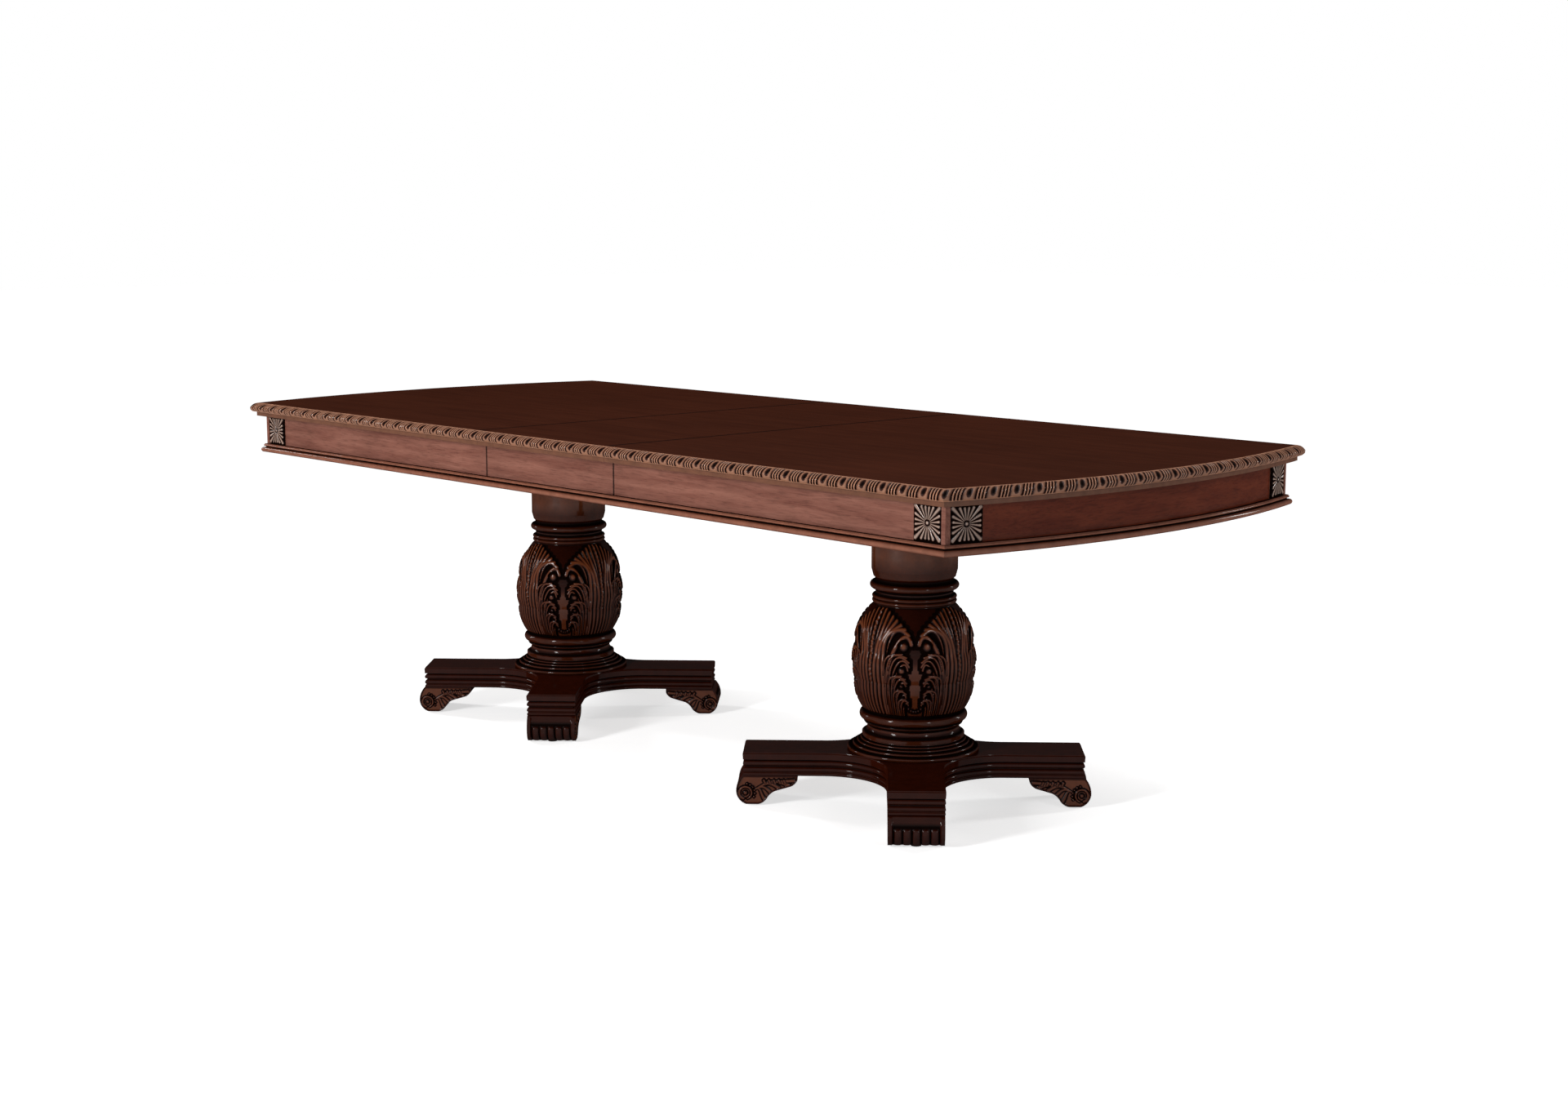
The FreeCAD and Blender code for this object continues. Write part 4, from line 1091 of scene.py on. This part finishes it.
radius, height = turning[:, 0], turning[:, 1]
urn_low = urn_low_share * column_tall
urn_high = urn_high_share * column_tall
on_urn = (radius > clear_of_bore) & (height > urn_low) & (height < urn_high)
half_sector = round_count // half_bundles
across = np.arange(half_sector + 1)[:, None] * (2 * math.pi * urn_radius / round_count) / MM
carving_up = (height - urn_low)[None, :] / MM
relief = urn_relief(across + 0 * carving_up, carving_up + 0 * across)
share = np.clip((height - urn_low) / (urn_high - urn_low), 0, 1)
relief = np.where(on_urn, relief * smooth_step(*carving_in, share) * (1 - smooth_step(*carving_out, share)), 0)
hollows = cavity(relief, reach=4, deep=1.9)
field_shade = field_tone + (throat_tone - field_tone) * smooth_step(*throat_span, share)
# Painted shade, darker towards the foot of the urn.
hollows = np.maximum(hollows, low_painted_shade * (1 - smooth_step(*low_shade_span, share)))
hollows = np.where(relief < field_below, np.maximum(hollows, field_shade), hollows)
leaf_edge = smooth_step(*scallop_across, across) * smooth_step(*scallop_span, share) * on_urn
relief = relief + np.cos(carving_up / scallop_pitch * 2 * math.pi) * leaf_edge
plain_glaze_and_shade = column_glaze_and_shade(turning, bead_reach)
plain_glaze_and_shade = np.where(height > (neck_share + neck_margin) * column_tall, lit_neck_tone, plain_glaze_and_shade)
column_rise = around(relief, round_count) * MM
column_shade = around(np.where(on_urn, hollows, plain_glaze_and_shade), round_count)
add_turned("column", turning, column_bottom, column_rise, column_shade)
print("columns:", round_count, "points round and", len(turning), "along the outline")

# %% [markdown]
# ## The stepped rings
#
# A stack of five rounded rings spreads the column's foot on the platform. It is another lathe piece.

# %% The base rings
ring_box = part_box("right_base_ring")
RINGS = [
    # radius and height of each ring from the bottom, in millimetres
    (139.5, 9.0),
    (128.5, 7.0),
    (119.5, 6.0),
    (112.5, 5.0),
    (106.5, 5.0),
]
ring_bend = 150
ring_steps = [0.8 * MM, 2 * MM]
ring_reach = 2.2 * MM


def ring_outline():
    """The stack's outline as (radius, height above its foot), from the bore round to the bore."""
    corners = [(bore_radius, 0, 0)]
    level = 0.0
    for radius, tall in RINGS:
        corners.append((radius * MM, level, ring_bend))
        level += tall * MM
        corners.append((radius * MM, level, 0))
    corners.append((bore_radius, level, 0))
    return outline(corners, [plain_step] + ring_steps * len(RINGS) + [plain_step])


ring_profile = ring_outline()
ring_shade = column_glaze_and_shade(ring_profile, ring_reach)
add_turned("base_ring", ring_profile, ring_box[0][2], 0.0, ring_shade)
print(len(RINGS), "rings,", len(ring_profile), "points in their outline")

# %% [markdown]
# ## The platforms
#
# The platform is a cross with hollow crotches, and three reeds run round its edge under a plain
# band. A joiner would cut the cross from a thick glued board and run a router round it. Here the
# edge's section is swept round the cross by setting every line of it in by its own depth.

# %% The cross and its reeded edge
platform_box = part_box("right_platform")
platform_bottom = platform_box[0][2]
platform_thick = platform_box[1][2] - platform_bottom
arm_reach = 369 * MM
arm_half = 60 * MM
crotch_radius = 135 * MM
crotch = arm_half + crotch_radius
cross_spacing = 4 * MM
edge_spacing = 1.1 * MM
reed_depth = 7 * MM
plain_tone = 0.42
under_tone = 0.5
PLATFORM_EDGE = [
    # inset in millimetres, height as a share of the thickness, and bend, from the bottom up
    (5, 0, 0),
    (4, 0, -150),
    (4, 0.14, 0),
    (4.5, 0.16, -140),
    (4.5, 0.36, 0),
    (7, 0.38, 0),
    (7, 0.41, 0),
    (4.5, 0.43, -140),
    (4.5, 0.63, 0),
    (7, 0.65, 0),
    (7, 0.68, 0),
    (1.0, 0.70, 0),
    (0.3, 0.94, 40),
    (2.5, 1.0, 0),
    (5.0, 1.0, 0),
]


def cross_outline(inset, spacing):
    """The cross set in from its outermost line, with as many points for every inset."""
    half = arm_half - inset
    tip = arm_reach - inset
    tip_count = int(round(2 * arm_half / spacing))
    side_count = int(round((arm_reach - crotch) / spacing))
    arc_count = int(round(crotch_radius * math.pi / 2 / spacing))
    end = np.linspace(-half, half, tip_count, endpoint=False)
    side = np.linspace(tip, crotch, side_count, endpoint=False)
    turn = np.linspace(-math.pi / 2, -math.pi, arc_count, endpoint=False)
    bend = crotch_radius + inset
    arm = np.vstack([
        np.stack([tip + 0 * end, end], axis=1),
        np.stack([side, half + 0 * side], axis=1),
        np.stack([crotch + bend * np.cos(turn), crotch + bend * np.sin(turn)], axis=1),
    ])
    arms = []
    for quarter in range(4):
        angle = quarter * math.pi / 2
        cos, sin = math.cos(angle), math.sin(angle)
        arms.append(arm @ np.array([[cos, sin], [-sin, cos]]))
    return np.vstack(arms)


def platform_section():
    """The edge's section as (inset, height above the underside), from the bottom up."""
    corners = [(inset * MM, share * platform_thick, bend) for inset, share, bend in PLATFORM_EDGE]
    parts = [arc(a[:2], b[:2], a[2], edge_spacing) for a, b in zip(corners[:-1], corners[1:])]
    return np.vstack(parts + [[corners[-1][:2]]])


edge_line = platform_section()
edge_shade = np.maximum(section_glaze_and_shade(edge_line, reed_depth), plain_tone)
edge_shade[-3:] = GROUND


def platform_points():
    """Loops of points from the bore under the platform, out and up its edge, and in to the bore."""
    loops = [cross_outline(inset, cross_spacing) for inset, _ in edge_line]
    turn = np.arctan2(loops[0][:, 1], loops[0][:, 0])
    bore = bore_radius * np.stack([np.cos(turn), np.sin(turn)], axis=1)
    plans = [bore] + loops + [bore]
    levels = [0.0, *edge_line[:, 1], platform_thick]
    shades = [under_tone, *edge_shade, GROUND]
    points = np.stack([np.column_stack([plan, np.full(len(plan), z)]) for plan, z in zip(plans, levels)])
    glaze_and_shade = np.repeat(np.array(shades)[:, None], points.shape[1], axis=1)
    return points, glaze_and_shade


def set_down(points, end, turn, lift):
    """Turns points about a pedestal's own axis, then moves them to its place at one end."""
    cos, sin = math.cos(turn), math.sin(turn)
    x = points[..., 0] * cos - points[..., 1] * sin + pedestal_x * end
    y = points[..., 0] * sin + points[..., 1] * cos
    return np.stack([x, y, points[..., 2] + lift], axis=-1)


platform_local, platform_shade = platform_points()
rows, columns = platform_local.shape[:2]
platform_faces = grid_faces(rows, columns, wrap_rows=True)[:, ::-1]
for end_name, end in ENDS.items():
    node, body = f"{end_name}_platform", f"{end_name}_end"
    points = set_down(platform_local, end, math.pi / 4, platform_bottom)
    make_piece(node, body, points, platform_faces, pedestal, platform_shade, sharp=35)
print("platforms:", rows, "by", columns, "points")

# %% [markdown]
# ## The scroll feet
#
# Under each arm stands a block sawn to a scroll: a tail that runs in under the arm, a belly, and a
# volute that rests on the floor. Its front is carved with five upright reeds between two rims, and
# its flanks with the volute's eye, a row of beads and a leaf that sweeps back along the tail. The
# outline is carried across the foot, and the flanks are filled with triangles fine enough to carve.

# %% The foot's outline and front
foot_start = 250.0
foot_long = 133.0
foot_tall = 63.0
foot_half = 58.0
glide_height = 3 * MM
FOOT = [
    # along and up as shares of the foot's length and height, and bend of the edge after it
    (0.0, 1.0, 0),
    (0.0, 0.86, 50),
    (0.12, 0.62, 0),
    (0.36, 0.47, -40),
    (0.50, 0.20, 45),
    (0.64, 0.0, 0),
    (0.835, 0.0, 75),
    (1.0, 0.50, 40),
    (0.90, 1.0, 0),
]
foot_step = 1.8
foot_loop = outline([(foot_long * x, foot_tall * z, bend) for x, z, bend in FOOT], foot_step)
front_reeds = 5
reed_spacing = 18.75
reed_half = 7.8
recess = 4.2
# Where each form of the front begins and ends: along the foot as a share, the rest in millimetres.
front_span = (0.80, 0.88)
brow_span = (foot_tall - 5, foot_tall - 1)
reed_top = (34, 42)
rim_inside = (47.5, 49.5)
shallow_span = (42, 56)
shallow_share = 0.7


def front_depth(y, loop):
    """Depth of the carving on a foot's front, for places across it and points of its outline."""
    x, z = loop[:, 0] / foot_long, loop[:, 1]
    front = smooth_step(*front_span, x) * (1 - smooth_step(*brow_span, z))
    centre = np.clip(np.round(y / reed_spacing), -(front_reeds // 2), front_reeds // 2) * reed_spacing
    reed = np.sqrt(np.clip(1 - ((y - centre) / reed_half) ** 2, 0, 1)) * (1 - smooth_step(*reed_top, z))
    inside = 1 - smooth_step(*rim_inside, np.abs(y))
    return front * inside * recess * (1 - reed) * (1 - shallow_share * smooth_step(*shallow_span, z))


print(len(foot_loop), "points in a foot's outline,", front_reeds, "reeds on its front")

# %% The foot's flank
volute = np.array([113.0, 24.5])
eye = (5.5, 3.2)
flank_depth = 3.4
flank_spacing = 1.3
clear_of_rim = 0.6
rim_width = (2.2, 3.6)
rim_share = 0.8
shade_reach = 2
shade_deep = 1.2
crest_tone = 0.15
FLANK_TIPS = [((8, 52), 176), ((20, 42), 200), ((40, 35), 214), ((57, 24), 226), ((72, 11), 236)]
flank_leaf_root = (93, 32)
flank_leaf_heading = 150
husk_count = 5
husk_start = np.array([27, 46.5])
husk_pitch = 10.8
husk_lean = [2.5, 6]
husk_level = 0.4
ring_turns = np.radians(np.linspace(-70, 250, 30))
ring_radius = 13.5
ring_level = 0.2
bead_turns = np.radians(np.linspace(100, 205, 6))
bead_path = 20.5
flank_bead = (2.6, 3.0, 0.5)
# Each rib's width at its root and its tip, and its height.
flank_rib = (1.6, 4.6, 2.2)
husk_rib = (3.4, 3.4, 2.8)
ring_rib = (3.6, 2.4, 3.0)


def flank_relief(x, z):
    """Height of the carving on a flank above its ground, in millimetres."""
    height = np.zeros_like(x)
    leaf = [(bent(flank_leaf_root, flank_leaf_heading, tip, heading), *flank_rib) for tip, heading in FLANK_TIPS]
    height = lay_leaf(height, x, z, leaf, leaf_level)
    for index in range(husk_count):
        foot = husk_start + [husk_pitch * index, 0]
        height = lay_leaf(height, x, z, [(np.array([foot, foot + husk_lean]), *husk_rib)], husk_level)
    ring = volute + ring_radius * np.stack([np.cos(ring_turns), np.sin(ring_turns)], axis=1)
    height = lay_leaf(height, x, z, [(ring, *ring_rib)], ring_level)
    for turn in bead_turns:
        bead = volute + bead_path * np.array([math.cos(turn), math.sin(turn)])
        height = set_button(height, x, z, bead, *flank_bead)
    return set_button(height, x, z, volute, *eye)


def filled(loop, spacing):
    """A closed loop filled with points and triangles. The loop's own points come first."""
    low, high = loop.min(axis=0), loop.max(axis=0)
    lines = [np.arange(low[k], high[k], spacing) for k in (0, 1)]
    grid = np.stack(np.meshgrid(*lines), axis=-1).reshape(-1, 2)
    apart = np.linalg.norm(grid[:, None] - loop[None], axis=2).min(axis=1)
    points = np.vstack([loop, grid[apart > spacing * clear_of_rim]])
    rim = [(k, (k + 1) % len(loop)) for k in range(len(loop))]
    inside_only, nearness = 1, 1e-6
    made = delaunay_2d_cdt([Vector(p) for p in points], rim, [], inside_only, nearness)
    source = np.array([origin[0] for origin in made[3]])
    faces = source[np.array(made[2])]
    used = np.unique(np.concatenate([np.arange(len(loop)), faces.ravel()]))
    return points[used], np.searchsorted(used, faces)


flank_points, flank_faces = filled(foot_loop, flank_spacing)
flank_x, flank_z = flank_points[:, 0], flank_points[:, 1]
to_rim = np.linalg.norm(flank_points[:, None] - foot_loop[None], axis=2).min(axis=1)
rim_height = flank_depth * (1 - smooth_step(*rim_width, to_rim))
flank_height = np.maximum(flank_relief(flank_x, flank_z), rim_height)
shifts = ((shade_reach, 0), (-shade_reach, 0), (0, shade_reach), (0, -shade_reach))
around_it = [flank_relief(flank_x + dx, flank_z + dz) for dx, dz in shifts]
flank_shade = (np.max(around_it + [rim_height * rim_share], axis=0) - flank_height) / shade_deep
flank_shade = np.clip(flank_shade, np.where(rim_height > 0, plain_tone, crest_tone), 1)
print("flank:", len(flank_points), "points")

# %% Set the eight feet
stations_across = 73


def foot_mesh():
    """Points, faces and glaze of a foot that points along +X from the pedestal's axis."""
    stations = np.linspace(-foot_half, foot_half, stations_across)[:, None]
    depth = front_depth(stations, foot_loop)
    x, z = carved_in(foot_loop, depth)
    band = np.stack([x, stations + 0 * x, z], axis=-1)
    rows, columns = x.shape
    points = [band.reshape(-1, 3)]
    shade = [np.maximum(depth / recess, plain_tone).ravel()]
    faces = grid_faces(rows, columns).tolist()
    inner = len(flank_points) - columns
    for side, row in ((-1, 0), (1, rows - 1)):
        first = rows * columns + (inner if side > 0 else 0)
        y = side * (foot_half - flank_depth + flank_height[columns:])
        points.append(np.stack([flank_x[columns:], y, flank_z[columns:]], axis=-1))
        shade.append(flank_shade[columns:])
        own = np.where(flank_faces < columns, flank_faces + row * columns, flank_faces - columns + first)
        faces += (own if side < 0 else own[:, ::-1]).tolist()
    points = (np.vstack(points) + [foot_start, 0, 0]) * MM
    return points, faces, np.concatenate(shade)


foot_points, foot_faces, foot_shade = foot_mesh()
for end_name, end in ENDS.items():
    for index in range(4):
        side = 1 if index < 2 else -1
        place_name = "inner" if index in (1, 2) else "outer"
        node = f"{end_name}_{row_name(end, side)}_{place_name}_foot"
        body = f"{end_name}_end"
        turn = math.pi / 4 + math.pi / 2 * index + (math.pi if end < 0 else 0)
        points = set_down(foot_points, end, turn, glide_height)
        make_piece(node, body, points, foot_faces, pedestal, foot_shade)
print("feet:", len(foot_points), "points each")

# %% [markdown]
# ## Finishes on the CAD nodes
#
# Boards, blocks and bars that are plain on the real table keep their CAD shape. Each node takes
# the finish of its own wood or metal, with the grain along the board. The end aprons take a darker
# copy of the aprons' finish as painted shade.

# %% Dress the nodes
NODE_FINISHES = {
    "top_panel": veneer,
    "leaf_panel": veneer,
    # a darker copy of the aprons' finish, as painted shade
    "end_apron": end_apron,
    "apron": apron,
    "base_moulding": moulding,
    "edge_moulding": gadroon,
    "corner_blocks": apron,
    "rosettes": carving,
    "bearers": inner_cross,
    "leaf_cleats": inner_cross,
    "slides": inner_wood,
    "runner": inner_wood,
    "pedestal_plate": inner_wood,
    "column": pedestal,
    "base_ring": pedestal,
    "platform": pedestal,
    "foot": pedestal,
    "tie_rod": steel,
    "screws": steel,
    "glides": glide_finish,
}
for name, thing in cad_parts.items():
    ending = next(key for key in NODE_FINISHES if name.endswith(key))
    thing.data.materials.clear()
    thing.data.materials.append(NODE_FINISHES[ending])
print(len(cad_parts), "CAD nodes have a finish")

# %% [markdown]
# ## Floor, light and camera
#
# The table stands in a white studio. The floor and the world look white to the camera, to gloss
# and to glass, while the light that they give stays plain. Two tall softboxes, one in front and one
# at the right, give each bead its pair of highlights. Two more, at the left and behind, light the
# rims, and a large soft lamp hangs overhead.

# %% Floor
floor_size = 60.0
floor_mesh = bpy.data.meshes.new("floor")
edge = floor_size / 2
floor_corners = [(-edge, -edge, 0), (edge, -edge, 0), (edge, edge, 0), (-edge, edge, 0)]
floor_mesh.from_pydata(floor_corners, [], [(0, 1, 2, 3)])
floor = bpy.data.objects.new("floor", floor_mesh)
bpy.context.scene.collection.objects.link(floor)


def seen_directly(tree):
    """1 for camera, glossy and transmission rays, and 0 for the rest."""
    rays = tree.nodes.new("ShaderNodeLightPath").outputs
    direct = math_node(tree, "MAXIMUM", rays["Is Camera Ray"], rays["Is Glossy Ray"])
    return math_node(tree, "MAXIMUM", direct, rays["Is Transmission Ray"])


# The floor's own white rises between two distances from the table's middle, in metres.
glow_from = 1.5
glow_to = 7.0
glow_near = 0.62
glow_far = 0.88
WHITE = (1, 1, 1, 1)
floor_finish, tree, shader = new_finish("floor_paint", roughness=0.9, coat_roughness=0.0)
speckle = noise(tree, scale=3.0, detail=2)
paint = ramp(tree, speckle, [(0.3, grey(0.80)), (0.7, grey(0.83))])
tree.links.new(paint, shader.inputs["Base Color"])
shader.inputs["Emission Color"].default_value = WHITE
place = tree.nodes.new("ShaderNodeTexCoord")
away = tree.nodes.new("ShaderNodeVectorMath")
away.operation = "LENGTH"
tree.links.new(place.outputs["Object"], away.inputs[0])
lift = tree.nodes.new("ShaderNodeMapRange")
set_inputs(lift, From_Min=glow_from, From_Max=glow_to, To_Min=glow_near, To_Max=glow_far)
tree.links.new(away.outputs["Value"], lift.inputs["Value"])
shown = math_node(tree, "MULTIPLY", lift.outputs[0], seen_directly(tree))
tree.links.new(shown, shader.inputs["Emission Strength"])
floor_mesh.materials.append(floor_finish)
print("floor", floor_size, "m wide")

# %% World
world = bpy.data.worlds.new("studio")
world.use_nodes = True
bpy.context.scene.world = world
tree = world.node_tree
background = tree.nodes["Background"]
background.inputs["Color"].default_value = WHITE
room_light = 0.16
strength = tree.nodes.new("ShaderNodeMapRange")
set_inputs(strength, To_Min=room_light, To_Max=1.0)
tree.links.new(seen_directly(tree), strength.inputs["Value"])
tree.links.new(strength.outputs[0], background.inputs["Strength"])
print("room light", room_light)


# %% Lamps
def softbox(name, place, target, width, height, watts):
    """A rectangular lamp that faces a point on the table."""
    light = bpy.data.lights.new(name, "AREA")
    light.shape = "RECTANGLE"
    light.size = width
    light.size_y = height
    light.energy = watts
    lamp = bpy.data.objects.new(name, light)
    lamp.location = place
    lamp.rotation_euler = (Vector(target) - Vector(place)).to_track_quat("-Z", "Y").to_euler()
    bpy.context.scene.collection.objects.link(lamp)


LAMPS = [
    # name, place, the point it faces, width, height and watts
    ("left_softbox", (0.1, -4.3, 1.7), (0.2, 0.0, 0.5), 0.60, 1.6, 150),
    ("right_softbox", (4.6, -0.9, 1.7), (0.2, 0.0, 0.5), 0.30, 1.5, 30),
    ("left_rim", (-3.9, -1.3, 1.6), (0.0, 0.0, 0.5), 0.40, 1.5, 75),
    ("right_rim", (2.4, 4.2, 1.6), (0.3, 0.0, 0.5), 0.40, 1.5, 80),
    ("top_softbox", (0.5, 0.4, 4.4), (0.0, 0.0, 0.7), 3.0, 2.0, 80),
]
for lamp in LAMPS:
    softbox(*lamp)
print(len(LAMPS), "softboxes")

# %% Camera
camera_place = Vector((3.8618, -3.4044, 1.2806))
camera_yaw = math.radians(137.11)
camera_pitch = math.radians(-8.94)
camera_data = bpy.data.cameras.new("camera")
camera_data.sensor_width = 36.0
camera_data.lens = 50.82
camera = bpy.data.objects.new("camera", camera_data)
camera.location = camera_place
aim = Vector((
    math.cos(camera_pitch) * math.cos(camera_yaw),
    math.cos(camera_pitch) * math.sin(camera_yaw),
    math.sin(camera_pitch),
))
camera.rotation_euler = aim.to_track_quat("-Z", "Y").to_euler()
bpy.context.scene.collection.objects.link(camera)
bpy.context.scene.camera = camera
bpy.context.scene.view_settings.view_transform = "Standard"
print("camera at", tuple(round(v, 2) for v in camera_place))
